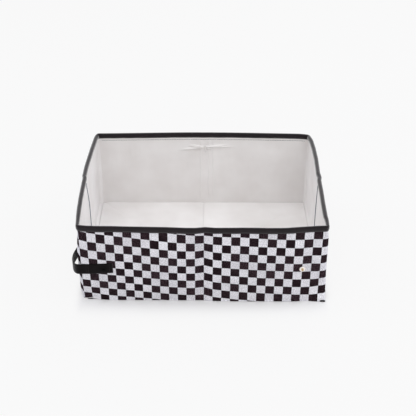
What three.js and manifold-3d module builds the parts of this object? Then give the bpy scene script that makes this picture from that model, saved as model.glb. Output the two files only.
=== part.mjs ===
import * as THREE from 'three';
import { mergeVertices } from 'three/addons/utils/BufferGeometryUtils.js';
import Module from 'manifold-3d';

const wasm = await Module();
wasm.setup();

// A folding litter box of canvas over thin boards. All sizes are in millimetres.
// Each wall folds along an upright crease at its middle, and the floor along both of its centre lines.

// Box
const boxWidth = 400;
const boxDepth = 300;
const boxHeight = 150;

// Layers of a panel, from the outside in
const canvasThickness = 0.5;
const boardThickness = 1.1;
const linerThickness = 0.4;
const panelThickness = canvasThickness + boardThickness + linerThickness;

// Clearance between panels that turn against each other
const seamGap = 0.3;

// Rim binding
const bindingHeight = 13;
const bindingTopThickness = 0.5;

// Stiffening boards: what they leave free for the creases and seams
const boardSeamInset = 3;
const boardCreaseInset = 4;
const boardBottomInset = 1;
const boardCornerRadius = 4;
const boardCornerSegments = 3;

// Soft bands without a board at the middle of the front and back walls, each side of the crease
const frontBandHalf = 20;
const backBandHalf = 25;

// Floor: the boarded panels are trapezoids, and their slanted ends clear the side walls as both fold
const floorEndMargin = 6;
const goreThickness = canvasThickness + linerThickness;

// Handle of webbing round the front left corner
const webbingWidth = 20;
const webbingThickness = 1.4;
const handleCentreHeight = 67;
const handleFrontReach = 53;
const handleLiftOff = 6;
const handleBulge = 12.5;
const handleSideStart = 46;
const handleSideLength = 18;
const handleCurveSteps = 14;

// Snap fastener: a stud on the front right, a socket on the handle's sewn end
const snapFromCorner = 38;
const studBaseRadius = 4;
const studBaseThickness = 0.8;
const studPostRadius = 2;
const studPostHeight = 3.2;
const studTipRound = 0.4;
const socketRadius = 5;
const socketHeight = 1.6;
const socketFloorThickness = 0.3;
const socketClearance = 0.4;
const socketEdgeRound = 0.3;
const shankRadius = 1;
const shankHoleRadius = 1.3;
const capRadius = 3.5;
const capThickness = 0.7;
const capPocketRadius = 3.8;
const roundSegments = 24;

// Tack that holds the liner at the middle of the back wall
const tackRadius = 2.5;
const tackThickness = 0.4;
const tackFromCrease = 3;
const tackFromRim = 22;

// Drill for the holes runs past both faces by this much
const cutOverrun = 1;

const innerHalfDepth = boxDepth / 2 - panelThickness;
const innerHalfWidth = boxWidth / 2 - panelThickness;
const sideHalfLength = innerHalfDepth - seamGap;
const boardTop = boxHeight - bindingTopThickness;

const materials = {
  canvas: { color: 0x8e898d, roughness: 0.85, metalness: 0 },
  board: { color: 0xd6d5d0, roughness: 0.55, metalness: 0 },
  liner: { color: 0xeae6df, roughness: 0.45, metalness: 0 },
  binding: { color: 0x262024, roughness: 0.8, metalness: 0 },
  webbing: { color: 0x1c191b, roughness: 0.75, metalness: 0 },
  metal: { color: 0xd9c7a0, roughness: 0.3, metalness: 1 },
  socket: { color: 0x2a2728, roughness: 0.4, metalness: 1 },
};

const box = new THREE.Group();
box.name = 'foldable_litter_box';

function addMesh(group, name, finish, geometry) {
  const mesh = new THREE.Mesh(geometry, new THREE.MeshStandardMaterial(materials[finish]));
  mesh.name = name;
  group.add(mesh);
  return mesh;
}

// Block between two corners
function block(low, high) {
  const size = high.map((value, axis) => value - low[axis]);
  const geometry = new THREE.BoxGeometry(...size);
  return geometry.translate(...low.map((value, axis) => value + size[axis] / 2));
}

// Closed outline of [x, y] points, raised from z = bottom by a height
function raised(points, bottom, height) {
  const shape = new THREE.Shape(points.map(([x, y]) => new THREE.Vector2(x, y)));
  const geometry = new THREE.ExtrudeGeometry(shape, { depth: height, bevelEnabled: false });
  return geometry.translate(0, 0, bottom);
}

// Upright plate with rounded corners in a wall's own frame, between two distances from its outer face
function roundedPlate(from, to, bottom, top, outer, thickness) {
  const r = boardCornerRadius;
  const shape = new THREE.Shape();
  shape.moveTo(from + r, bottom);
  shape.lineTo(to - r, bottom);
  shape.absarc(to - r, bottom + r, r, -Math.PI / 2, 0);
  shape.absarc(to - r, top - r, r, 0, Math.PI / 2);
  shape.absarc(from + r, top - r, r, Math.PI / 2, Math.PI);
  shape.absarc(from + r, bottom + r, r, Math.PI, 1.5 * Math.PI);
  const options = { depth: thickness, bevelEnabled: false, curveSegments: boardCornerSegments };
  const geometry = new THREE.ExtrudeGeometry(shape, options);
  return geometry.rotateX(Math.PI / 2).translate(0, outer + thickness, 0);
}

// Solid of revolution about a wall's depth axis, from [radius, depth] points that start and end on it
function turned(points, centre, height) {
  const profile = points.map(([radius, depth]) => new THREE.Vector2(radius, depth));
  const geometry = new THREE.LatheGeometry(profile, roundSegments);
  return geometry.translate(centre, 0, height);
}

function toManifold(geometry) {
  const bare = geometry.index ? geometry.toNonIndexed() : geometry.clone();
  bare.deleteAttribute('normal');
  bare.deleteAttribute('uv');
  const merged = mergeVertices(bare, seamGap / 1000);
  const vertProperties = new Float32Array(merged.attributes.position.array);
  const triVerts = new Uint32Array(merged.index.array);
  const corners = [0, 1, 2];
  const whole = [];
  for (let t = 0; t < triVerts.length; t += corners.length) {
    const [a, b, c] = corners.map((k) => triVerts[t + k]);
    if (a !== b && b !== c && c !== a) whole.push(a, b, c);
  }
  return new wasm.Manifold(new wasm.Mesh({ numProp: 3, vertProperties, triVerts: new Uint32Array(whole) }));
}

function fromManifold(solid) {
  const mesh = solid.getMesh();
  const geometry = new THREE.BufferGeometry();
  geometry.setAttribute('position', new THREE.BufferAttribute(new Float32Array(mesh.vertProperties), 3));
  geometry.setIndex(new THREE.BufferAttribute(new Uint32Array(mesh.triVerts), 1));
  geometry.computeVertexNormals();
  return geometry;
}

// A round hole through a panel, along the wall's depth axis
function drilled(geometry, radius, centre, height, outer, inner) {
  const low = outer - cutOverrun;
  const high = inner + cutOverrun;
  const drill = turned([[0, low], [radius, low], [radius, high], [0, high]], centre, height);
  return fromManifold(toManifold(geometry).subtract(toManifold(drill)));
}

// Frame of a wall: x runs to the right as seen from outside, y goes inward from its outer face, z is up
function wallFrame(quarterTurns, outerDistance) {
  const frame = new THREE.Group();
  const angle = (quarterTurns * Math.PI) / 2;
  frame.rotation.z = angle;
  frame.position.set(outerDistance * Math.sin(angle), -outerDistance * Math.cos(angle), 0);
  box.add(frame);
  return frame;
}

// Rim binding: a strip folded over the top edge
function bindingStrip(from, to) {
  const bottom = boxHeight - bindingHeight;
  const inner = panelThickness - linerThickness;
  const section = [
    [0, bottom],
    [canvasThickness, bottom],
    [canvasThickness, boardTop],
    [inner, boardTop],
    [inner, bottom],
    [panelThickness, bottom],
    [panelThickness, boxHeight],
    [0, boxHeight],
  ];
  const geometry = raised(section, 0, to - from);
  geometry.rotateZ(Math.PI / 2).rotateY(Math.PI / 2);
  return geometry.translate(from, 0, 0);
}

// Fabric layers of one piece of wall: canvas outside, liner inside, binding over the rim
function addWallFabric(frame, piece, from, to, snap) {
  const top = boxHeight - bindingHeight;
  const linerOuter = panelThickness - linerThickness;
  let canvas = block([from, 0, 0], [to, canvasThickness, top]);
  if (snap) canvas = drilled(canvas, shankHoleRadius, snap, handleCentreHeight, 0, canvasThickness);
  addMesh(frame, `canvas_${piece}`, 'canvas', canvas);
  addMesh(frame, `liner_${piece}`, 'liner', block([from, linerOuter, 0], [to, panelThickness, top]));
  addMesh(frame, `rim_binding_${piece}`, 'binding', bindingStrip(from, to));
}

// Stiffening board of one piece of wall, between the canvas and the liner
function addWallBoard(frame, piece, from, to, snap) {
  let board = roundedPlate(from, to, boardBottomInset, boardTop, canvasThickness, boardThickness);
  const inner = canvasThickness + boardThickness;
  if (snap) board = drilled(board, capPocketRadius, snap, handleCentreHeight, canvasThickness, inner);
  addMesh(frame, `board_${piece}`, 'board', board);
}

// Walls
const frontWall = wallFrame(0, boxDepth / 2);
const rightWall = wallFrame(1, boxWidth / 2);
const backWall = wallFrame(2, boxDepth / 2);
const leftWall = wallFrame(3, boxWidth / 2);

const wallEnd = boxWidth / 2;
const boardEnd = wallEnd - boardSeamInset;
const sideBoardEnd = sideHalfLength - boardSeamInset;
const halfSeam = seamGap / 2;
const snapCentre = wallEnd - snapFromCorner;

addWallFabric(frontWall, 'front_left', -wallEnd, -halfSeam, -snapCentre);
addWallBoard(frontWall, 'front_left', -boardEnd, -frontBandHalf, -snapCentre);
addWallFabric(frontWall, 'front_right', halfSeam, wallEnd, snapCentre);
addWallBoard(frontWall, 'front_right', frontBandHalf, boardEnd, snapCentre);

addWallFabric(backWall, 'back_right', -wallEnd, -halfSeam);
addWallBoard(backWall, 'back_right', -boardEnd, -backBandHalf);
addWallFabric(backWall, 'back_crease', halfSeam, backBandHalf - halfSeam);
addWallFabric(backWall, 'back_left', backBandHalf + halfSeam, wallEnd);
addWallBoard(backWall, 'back_left', backBandHalf + halfSeam, boardEnd);

const sideWalls = [
  { frame: rightWall, first: 'right_front', second: 'right_back' },
  { frame: leftWall, first: 'left_back', second: 'left_front' },
];
for (const { frame, first, second } of sideWalls) {
  addWallFabric(frame, first, -sideHalfLength, -halfSeam);
  addWallBoard(frame, first, -sideBoardEnd, -boardCreaseInset);
  addWallFabric(frame, second, halfSeam, sideHalfLength);
  addWallBoard(frame, second, boardCreaseInset, sideBoardEnd);
}

// Floor: four boarded quarters and their four soft end gores
// The slanted end of a quarter runs at 45 degrees, so it draws in as far as the side wall does
function floorOutline(inset, creaseInset) {
  const outerY = -innerHalfDepth + seamGap + inset;
  const innerY = -halfSeam - creaseInset;
  const slant = (y) => boxWidth / 2 - floorEndMargin - (y + innerHalfDepth) - inset * Math.SQRT2;
  return [
    [halfSeam + creaseInset, outerY],
    [slant(outerY), outerY],
    [slant(innerY), innerY],
    [halfSeam + creaseInset, innerY],
  ];
}

function goreOutline() {
  const [, outerCorner, innerCorner] = floorOutline(0, 0);
  const step = seamGap * Math.SQRT2;
  const end = innerHalfWidth - seamGap;
  return [
    [outerCorner[0] + step, outerCorner[1]],
    [end, outerCorner[1]],
    [end, innerCorner[1]],
    [innerCorner[0] + step, innerCorner[1]],
  ];
}

const quarters = [
  { name: 'front_right', x: 1, y: 1 },
  { name: 'front_left', x: -1, y: 1 },
  { name: 'back_right', x: 1, y: -1 },
  { name: 'back_left', x: -1, y: -1 },
];
const boardBottom = canvasThickness;
const linerBottom = canvasThickness + boardThickness;
for (const quarter of quarters) {
  const turn = (points) => points.map(([x, y]) => [quarter.x * x, quarter.y * y]);
  const fabric = turn(floorOutline(0, 0));
  const board = turn(floorOutline(boardSeamInset, boardCreaseInset));
  addMesh(box, `floor_canvas_${quarter.name}`, 'canvas', raised(fabric, 0, canvasThickness));
  addMesh(box, `floor_board_${quarter.name}`, 'board', raised(board, boardBottom, boardThickness));
  addMesh(box, `floor_liner_${quarter.name}`, 'liner', raised(fabric, linerBottom, linerThickness));
  addMesh(box, `end_gore_${quarter.name}`, 'liner', raised(turn(goreOutline()), 0, goreThickness));
}

// Handle: its front end lies flat on the wall, then it bows round the corner to the side wall
function ribbonOutline(centreLine) {
  const curve = new THREE.CatmullRomCurve3(centreLine.map(([x, y]) => new THREE.Vector3(x, y, 0)));
  const near = [];
  const far = [];
  for (let k = 0; k <= handleCurveSteps; k += 1) {
    const share = k / handleCurveSteps;
    const point = curve.getPointAt(share);
    const along = curve.getTangentAt(share);
    const side = new THREE.Vector2(-along.y, along.x).multiplyScalar(webbingThickness / 2);
    near.push([point.x + side.x, point.y + side.y]);
    far.unshift([point.x - side.x, point.y - side.y]);
  }
  return [...near, ...far];
}

const halfWebbing = webbingThickness / 2;
const cornerX = -boxWidth / 2;
const tabEnd = cornerX + handleFrontReach;
const tabStart = cornerX + handleLiftOff;
const loopX = cornerX - handleBulge;
const loopEndShare = 0.97;
// Places round the loop, as shares of its bulge and of the way back along the side
const loopShares = [
  [0.55, 0.02],
  [1, 0.2],
  [0.92, 0.45],
  [0.45, 0.8],
];
const loopLine = [
  [tabStart, -halfWebbing],
  ...loopShares.map(([out, back]) => [
    cornerX + (loopX - cornerX) * out,
    -halfWebbing + handleSideStart * back,
  ]),
  [cornerX - halfWebbing - seamGap, handleSideStart * loopEndShare],
];
const loopOutline = ribbonOutline(loopLine);
const handleBottom = handleCentreHeight - webbingWidth / 2;
const loop = toManifold(raised(loopOutline, handleBottom, webbingWidth));
const tab = block(
  [tabStart - handleLiftOff / 2, -webbingThickness, handleBottom],
  [tabEnd, 0, handleBottom + webbingWidth],
);
// The loop stays outside the corner of the two walls
const walls = block(
  [cornerX, 0, handleBottom - cutOverrun],
  [tabEnd, boxDepth / 2, handleBottom + webbingWidth + cutOverrun],
);
const handle = drilled(
  fromManifold(loop.add(toManifold(tab)).subtract(toManifold(walls))),
  shankHoleRadius,
  -snapCentre,
  handleCentreHeight,
  -webbingThickness,
  0,
);
addMesh(frontWall, 'handle_strap', 'webbing', handle);

const sideTabFront = boxDepth / 2 - handleSideStart;
const sideTab = block(
  [sideTabFront - handleSideLength, -webbingThickness, handleBottom],
  [sideTabFront, 0, handleBottom + webbingWidth],
);
addMesh(leftWall, 'handle_side_tab', 'webbing', sideTab);

// Snap fastener
const studBaseTop = -studBaseThickness;
const studTip = studBaseTop - studPostHeight;
const studProfile = [
  [0, studTip],
  [studPostRadius - studTipRound, studTip],
  [studPostRadius, studTip + studTipRound],
  [studPostRadius, studBaseTop],
  [studBaseRadius, studBaseTop],
  [studBaseRadius, 0],
  [shankRadius, 0],
  [shankRadius, canvasThickness],
  [0, canvasThickness],
];
addMesh(frontWall, 'snap_stud', 'metal', turned(studProfile, snapCentre, handleCentreHeight));

const socketBase = -webbingThickness;
const socketFace = socketBase - socketHeight;
const recessRadius = studPostRadius + socketClearance;
const socketProfile = [
  [0, socketBase - socketFloorThickness],
  [recessRadius, socketBase - socketFloorThickness],
  [recessRadius, socketFace],
  [socketRadius - socketEdgeRound, socketFace],
  [socketRadius, socketFace + socketEdgeRound],
  [socketRadius, socketBase],
  [shankRadius, socketBase],
  [shankRadius, canvasThickness],
  [0, canvasThickness],
];
addMesh(frontWall, 'snap_socket', 'socket', turned(socketProfile, -snapCentre, handleCentreHeight));

const capInner = canvasThickness + capThickness;
const capProfile = [
  [0, canvasThickness],
  [capRadius, canvasThickness],
  [capRadius, capInner],
  [0, capInner],
];
addMesh(frontWall, 'snap_stud_cap', 'metal', turned(capProfile, snapCentre, handleCentreHeight));
addMesh(frontWall, 'snap_socket_cap', 'socket', turned(capProfile, -snapCentre, handleCentreHeight));

// Liner tack
const tackProfile = [
  [0, panelThickness],
  [tackRadius, panelThickness],
  [tackRadius, panelThickness + tackThickness],
  [0, panelThickness + tackThickness],
];
addMesh(backWall, 'liner_tack', 'liner', turned(tackProfile, -tackFromCrease, boxHeight - tackFromRim));

export default box;
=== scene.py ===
"""Visual model of a folding litter box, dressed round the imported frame.

The box is canvas with black and pale checks outside, a coated lining inside, thin boards between them,
a black binding over the rim and a webbing handle round the front left corner.
Lengths are in metres, in the frame of the part.
"""

from __future__ import annotations

import logging
import math
from dataclasses import dataclass, field
from enum import Enum, IntEnum
from typing import Sequence

import bmesh
import bpy
import numpy as np
from mathutils import Matrix, Vector


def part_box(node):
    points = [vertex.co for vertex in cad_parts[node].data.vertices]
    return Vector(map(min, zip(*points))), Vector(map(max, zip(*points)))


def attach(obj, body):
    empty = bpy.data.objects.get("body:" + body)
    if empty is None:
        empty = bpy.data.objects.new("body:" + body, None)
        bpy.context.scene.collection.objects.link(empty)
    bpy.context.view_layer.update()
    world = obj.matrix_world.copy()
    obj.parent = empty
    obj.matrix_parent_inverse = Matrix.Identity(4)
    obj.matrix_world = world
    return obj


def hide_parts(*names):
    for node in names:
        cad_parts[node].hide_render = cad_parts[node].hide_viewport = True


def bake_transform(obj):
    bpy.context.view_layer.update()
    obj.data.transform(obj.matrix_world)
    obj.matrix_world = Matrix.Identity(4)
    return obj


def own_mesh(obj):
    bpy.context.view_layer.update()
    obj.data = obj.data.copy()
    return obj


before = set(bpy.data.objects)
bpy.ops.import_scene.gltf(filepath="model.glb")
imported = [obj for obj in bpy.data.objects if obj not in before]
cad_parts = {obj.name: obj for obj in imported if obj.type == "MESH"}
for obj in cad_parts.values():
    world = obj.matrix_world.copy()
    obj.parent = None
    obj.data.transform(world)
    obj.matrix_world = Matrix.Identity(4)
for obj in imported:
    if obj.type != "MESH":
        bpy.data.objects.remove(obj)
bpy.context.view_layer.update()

LOG = logging.getLogger("litter_box")
MM = 0.001
Point = tuple[float, float, float]
Table = tuple[tuple[float, float], ...]
Array = np.ndarray
Piece = bpy.types.Object
Material = bpy.types.Material
Tree = bpy.types.NodeTree


# Numbers


def smooth(low: float, high: float, value: Array) -> Array:
    """Rise smoothly from 0 at low to 1 at high."""
    t = np.clip((np.asarray(value, float) - low) / (high - low), 0.0, 1.0)
    return t * t * (3.0 - 2.0 * t)


def lattice(ix: Array, iy: Array, seed: int) -> Array:
    """Repeatable value from 0 to 1 for each whole-number place of a lattice.

    Args:
        ix: First numbers of the places.
        iy: Second numbers.
        seed: Number that picks the pattern.

    Returns:
        The values.
    """
    mixed = (ix * 374761393 + iy * 668265263 + seed * 144269504) & 0xFFFFFFFF
    mixed = ((mixed ^ (mixed >> 13)) * 1274126177) & 0xFFFFFFFF
    return ((mixed ^ (mixed >> 16)) & 0xFFFF) / 65535.0


def soft_noise(x: Array, y: Array, size: float, seed: int) -> Array:
    """Smooth noise from -1 to 1.

    Args:
        x: First coordinates, in metres.
        y: Second coordinates, in metres.
        size: Distance between the lattice places, in metres.
        seed: Number that picks the pattern.

    Returns:
        The noise at each place.
    """
    gx, gy = np.asarray(x, float) / size, np.asarray(y, float) / size
    ix, iy = np.floor(gx).astype(np.int64), np.floor(gy).astype(np.int64)
    fx, fy = gx - ix, gy - iy
    fx, fy = fx * fx * (3.0 - 2.0 * fx), fy * fy * (3.0 - 2.0 * fy)
    low = lattice(ix, iy, seed) * (1.0 - fx) + lattice(ix + 1, iy, seed) * fx
    high = lattice(ix, iy + 1, seed) * (1.0 - fx) + lattice(ix + 1, iy + 1, seed) * fx
    return (low * (1.0 - fy) + high * fy) * 2.0 - 1.0


def spread(start: float, end: float, step: float) -> Array:
    """Places from start to end, about a step apart, both ends included."""
    return np.linspace(start, end, max(2, int(round(abs(end - start) / step)) + 1))


def run_along(points: Array) -> Array:
    """Distances along a line to each of its points."""
    return np.concatenate([[0.0], np.cumsum(np.linalg.norm(np.diff(points, axis=0), axis=1))])


# Names


class Wall(IntEnum):
    """The four walls, in the order in which they follow each other to the right."""

    FRONT = 0
    RIGHT = 1
    BACK = 2
    LEFT = 3


class Held(Enum):
    """How a sheet of cloth is held."""

    STRETCHED = "stretched"
    LAID = "laid"


# Sizes


@dataclass(frozen=True)
class BoxSizes:
    """Sizes of the box that the frame gives."""

    width: float
    depth: float
    height: float
    canvas: float
    board: float
    lining: float
    binding_leg: float

    @property
    def panel(self) -> float:
        """Thickness of a whole panel."""
        return self.canvas + self.board + self.lining

    @property
    def round_trip(self) -> float:
        """Length once round the walls."""
        return 2.0 * (self.width + self.depth)

    @classmethod
    def from_frame(cls) -> "BoxSizes":
        """Read the sizes off the frame's nodes.

        Returns:
            The sizes.
        """
        front_low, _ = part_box("canvas_front_left")
        _, front_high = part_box("canvas_front_right")
        _, back_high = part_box("canvas_back_right")
        binding_low, binding_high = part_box("rim_binding_front_right")
        board_low, board_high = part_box("board_front_right")
        _, lining_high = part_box("liner_front_right")
        return cls(
            width=front_high.x - front_low.x,
            depth=back_high.y - front_low.y,
            height=binding_high.z,
            canvas=board_low.y - front_low.y,
            board=board_high.y - board_low.y,
            lining=lining_high.y - board_high.y,
            binding_leg=binding_high.z - binding_low.z,
        )


# Mesh drafts


class MeshDraft:
    """Points, faces and cloth places of one piece, gathered before its mesh is made."""

    def __init__(self) -> None:
        """Start an empty draft."""
        self.points: list[Array] = []
        self.cloth: list[Array] = []
        self.checks: list[Array] = []
        self.faces: list[list[int]] = []
        self.count = 0

    def add_points(self, points: Array, cloth: Array, checks: Array | None = None) -> int:
        """Add points with their places on the cloth.

        Args:
            points: Array that ends in the three coordinates.
            cloth: Array of the same shape that ends in the two distances along the cloth.
            checks: Column and row of the checks at each point, if the cloth has them.

        Returns:
            The index of the first point.
        """
        first = self.count
        flat = np.asarray(points, float).reshape(-1, 3)
        self.points.append(flat)
        self.cloth.append(np.asarray(cloth, float).reshape(-1, 2))
        squares = cloth if checks is None else checks
        self.checks.append(np.asarray(squares, float).reshape(-1, 2))
        self.count += len(flat)
        return first

    def slab(self, outer: Array, inner: Array, cloth: Array, checks: Array | None = None) -> None:
        """Add a thin closed sheet between two grids of points.

        Args:
            outer: Rows and columns of points on one face.
            inner: The same on the other face.
            cloth: Distances along the cloth at each point.
            checks: Column and row of the checks at each point.
        """
        rows, columns = outer.shape[:2]
        first = self.add_points(outer, cloth, checks)
        second = self.add_points(inner, cloth, checks)
        index = np.arange(rows * columns).reshape(rows, columns)
        corners = [index[:-1, :-1], index[:-1, 1:], index[1:, 1:], index[1:, :-1]]
        quads = np.stack(corners, -1).reshape(-1, 4)
        rim = np.concatenate([index[0, :], index[1:, -1], index[-1, -2::-1], index[-2:0:-1, 0]])
        following = np.roll(rim, -1)
        sides = np.stack([rim + first, rim + second, following + second, following + first], -1)
        self.faces += (quads + first).tolist()
        self.faces += (quads[:, ::-1] + second).tolist()
        self.faces += sides.tolist()

    def sweep(self, rings: Array, cloth: Array, checks: Array | None = None) -> None:
        """Add a closed section swept along a line.

        Args:
            rings: One ring of points after another, each going round the section.
            cloth: Distances along and round at each point.
            checks: Column and row of the checks at each point.
        """
        count, around = rings.shape[:2]
        first = self.add_points(rings, cloth, checks)
        index = np.arange(count * around).reshape(count, around) + first
        ahead = np.roll(index, -1, axis=1)
        quads = np.stack([index[:-1], ahead[:-1], ahead[1:], index[1:]], -1).reshape(-1, 4)
        self.faces += quads.tolist()
        self.faces.append(index[0, ::-1].tolist())
        self.faces.append(index[-1].tolist())

    def make(self, name: str, material: Material, sharp: float = 50.0) -> Piece:
        """Make the object.

        Args:
            name: The piece's name.
            material: Its finish.
            sharp: Edges that turn more than this many degrees stay sharp.

        Returns:
            The new object, in the scene.
        """
        mesh = bpy.data.meshes.new(name)
        mesh.from_pydata(np.concatenate(self.points).tolist(), [], self.faces)
        for label, values in (("cloth", self.cloth), ("checks", self.checks)):
            places = np.concatenate(values)
            flat = np.column_stack([places, np.zeros(len(places))]).astype(np.float32)
            attribute = mesh.attributes.new(label, "FLOAT_VECTOR", "POINT")
            attribute.data.foreach_set("vector", flat.ravel())
        mesh.update()
        shaped = bmesh.new()
        shaped.from_mesh(mesh)
        bmesh.ops.recalc_face_normals(shaped, faces=shaped.faces)
        shaped.to_mesh(mesh)
        shaped.free()
        mesh.shade_smooth()
        mesh.set_sharp_from_angle(angle=math.radians(sharp))
        mesh.materials.append(material)
        piece = bpy.data.objects.new(name, mesh)
        bpy.context.scene.collection.objects.link(piece)
        return piece


# Motion


@dataclass(frozen=True)
class Flatten:
    """How a soft piece would flatten as the box folds: an axis, an anchor and the share kept."""

    axis: Point
    anchor: Point
    keep: float


@dataclass(frozen=True)
class Motion:
    """What a piece moves with: one body, or two bodies that it lies between."""

    body: str
    flatten: Flatten | None = None
    other: str = ""
    start: Point = (0.0, 0.0, 0.0)
    end: Point = (0.0, 0.0, 0.0)

    def move(self, piece: Piece) -> None:
        """Parent a finished piece to its body; one that lies between two bodies only has its transform
        baked in, and one with a flattening gets a mesh of its own.

        Args:
            piece: The piece, with its mesh complete.
        """
        if self.other:
            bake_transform(piece)
            return
        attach(piece, self.body)
        flat = self.flatten
        if flat:
            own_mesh(piece)


def settle(piece: Piece, motion: Motion, nodes: Sequence[str] = ()) -> Piece:
    """Attach a piece as its motion says, and hide the nodes that it stands for.

    Args:
        piece: The finished piece.
        motion: What it moves with.
        nodes: The nodes that it replaces.

    Returns:
        The same piece.
    """
    motion.move(piece)
    if nodes:
        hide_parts(*nodes)
    LOG.info("%s: %d points", piece.name, len(piece.data.vertices))
    return piece


# Finishes


def linear(code: str) -> tuple[float, float, float, float]:
    """Turn an sRGB hex colour into linear red, green and blue, with an alpha of 1.

    Args:
        code: The colour, such as #ffffff.

    Returns:
        The four values.
    """
    parts = [int(code[k : k + 2], 16) / 255.0 for k in (1, 3, 5)]
    red, green, blue = (c / 12.92 if c <= 0.04045 else ((c + 0.055) / 1.055) ** 2.4 for c in parts)
    return (red, green, blue, 1.0)


def add_node(tree: Tree, kind: str, inputs: dict | None = None, **settings: object) -> bpy.types.Node:
    """Add a node with its settings and links.

    Args:
        tree: The material's or world's node tree.
        kind: The node's type, without the word ShaderNode before it.
        inputs: A value, a socket or a node with one main output, for each input's name or number.
        **settings: Values of the node's own properties.

    Returns:
        The new node.
    """
    node = tree.nodes.new(f"ShaderNode{kind}")
    for name, value in settings.items():
        setattr(node, name, value)
    for name, value in (inputs or {}).items():
        source = value.outputs[0] if isinstance(value, bpy.types.Node) else value
        if isinstance(source, bpy.types.NodeSocket):
            tree.links.new(source, node.inputs[name])
        else:
            node.inputs[name].default_value = source
    return node


def blank_material(name: str) -> tuple[Material, Tree]:
    """Make a material with an empty node tree.

    Args:
        name: The material's name.

    Returns:
        The material and its tree.
    """
    material = bpy.data.materials.new(name)
    material.use_nodes = True
    material.node_tree.nodes.clear()
    return material, material.node_tree


def weave_height(tree: Tree, cloth: bpy.types.NodeSocket, warp: float, weft: float) -> bpy.types.Node:
    """Height of a plain weave, from -1 to 1.

    Args:
        tree: The node tree.
        cloth: Place on the cloth, in metres.
        warp: Distance between the upright threads, in metres.
        weft: Distance between the level threads, in metres.

    Returns:
        The node that gives the height.
    """
    place = add_node(tree, "SeparateXYZ", {0: cloth})
    waves = []
    for axis, spacing in enumerate((warp, weft)):
        turn = add_node(tree, "Math", {0: place.outputs[axis], 1: math.pi / spacing}, operation="MULTIPLY")
        waves.append(add_node(tree, "Math", {0: turn}, operation="SINE"))
    return add_node(tree, "Math", {0: waves[0], 1: waves[1]}, operation="MULTIPLY")


@dataclass(frozen=True)
class CheckedCanvas:
    """Yarn-dyed cotton canvas, plain woven: matt, with soft-edged checks, a fine weave of threads and
    painted shade in the weave's hollows.
    """

    name: str = "yarn_dyed_checked_canvas"
    pale: str = "#f7f6fb"
    pale_shade: str = "#a3a1a8"
    dark: str = "#0d0709"
    dark_worn: str = "#44363c"
    # The real thread is 0.4 mm; it is drawn coarser, so that the weave shows
    thread: float = 0.9 * MM
    # Slubs of the yarn are 0.5 mm wide; they are drawn coarser, so that the mottle shows
    slub_size: float = 1.7 * MM
    slub_range: tuple[float, float] = (0.34, 0.66)
    blot_size: float = 45.0 * MM
    # How much the checks' edges waver, in checks, and over what distance
    edge_waver: float = 0.025
    waver_size: float = 3.0 * MM
    # Shares of the wear on dark yarn, and of the painted shade that darkens the weave's hollows and
    # lightens the threads' crowns
    wear: float = 1.6
    painted_weave_shade: float = 0.06
    relief: float = 0.12 * MM
    roughness: float = 0.9
    shine: float = 0.0

    def checks(self, tree: Tree, cloth: bpy.types.NodeSocket) -> bpy.types.Node:
        """Add nodes that give 1 on every other check and 0 between.

        Args:
            tree: The node tree.
            cloth: Place on the cloth, in metres.

        Returns:
            The node with the result.
        """
        spots = {"Vector": cloth, "Scale": 1.0 / self.waver_size}
        waver = add_node(tree, "TexNoise", spots, noise_dimensions="2D")
        halves = (0.5, 0.5, 0.5)
        shift = add_node(tree, "VectorMath", {0: waver.outputs["Color"], 1: halves}, operation="SUBTRACT")
        squares = add_node(tree, "Attribute", attribute_name="checks").outputs["Vector"]
        moves = {0: shift, 1: (self.edge_waver,) * 3, 2: squares}
        moved = add_node(tree, "VectorMath", moves, operation="MULTIPLY_ADD")
        place = add_node(tree, "SeparateXYZ", {0: moved})
        column = add_node(tree, "Math", {0: place.outputs[0]}, operation="FLOOR")
        row = add_node(tree, "Math", {0: place.outputs[1]}, operation="FLOOR")
        total = add_node(tree, "Math", {0: column, 1: row}, operation="ADD")
        return add_node(tree, "Math", {0: total, 1: 2.0}, operation="FLOORED_MODULO")

    def make(self) -> Material:
        """Build the material.

        Returns:
            The material.
        """
        material, tree = blank_material(self.name)
        cloth = add_node(tree, "Attribute", attribute_name="cloth").outputs["Vector"]
        odd = self.checks(tree, cloth)
        blot, fleck = (
            add_node(tree, "TexNoise", {"Vector": cloth, "Scale": 1.0 / size}, noise_dimensions="2D")
            for size in (self.blot_size, self.slub_size)
        )
        low, high = self.slub_range
        slub = add_node(tree, "MapRange", {0: fleck, 1: low, 2: high, 3: 0.0, 4: 1.0})
        half_slub = add_node(tree, "Math", {0: slub, 1: 0.5}, operation="MULTIPLY")
        mottle = add_node(tree, "Math", {0: blot, 1: 0.5, 2: half_slub}, operation="MULTIPLY_ADD")
        shades = {0: mottle, 6: linear(self.pale), 7: linear(self.pale_shade)}
        pale = add_node(tree, "Mix", shades, data_type="RGBA")
        worn = add_node(tree, "Math", {0: slub, 1: blot}, operation="MULTIPLY")
        worn = add_node(tree, "Math", {0: worn, 1: self.wear}, operation="MULTIPLY")
        shades = {0: worn, 6: linear(self.dark), 7: linear(self.dark_worn)}
        dark = add_node(tree, "Mix", shades, data_type="RGBA")
        dyed = add_node(tree, "Mix", {0: odd, 6: dark.outputs[2], 7: pale.outputs[2]}, data_type="RGBA")
        # The weave's height also scales the colour: painted shade, darker in the hollows between threads
        # and lighter on their crowns
        height = weave_height(tree, cloth, self.thread, self.thread)
        painted_weave_shade = add_node(tree, "Math", {0: height, 1: self.painted_weave_shade, 2: 1.0}, operation="MULTIPLY_ADD")
        shaded = add_node(tree, "VectorMath", {0: dyed.outputs[2], "Scale": painted_weave_shade}, operation="SCALE")
        uneven = add_node(tree, "Math", {0: height, 1: fleck}, operation="ADD")
        bump = add_node(tree, "Bump", {"Strength": 0.35, "Distance": self.relief, "Height": uneven})
        look = {
            "Base Color": shaded,
            "Roughness": self.roughness,
            "Specular IOR Level": self.shine,
            "Normal": bump,
        }
        add_node(tree, "OutputMaterial", {"Surface": add_node(tree, "BsdfPrincipled", look)})
        return material


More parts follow.
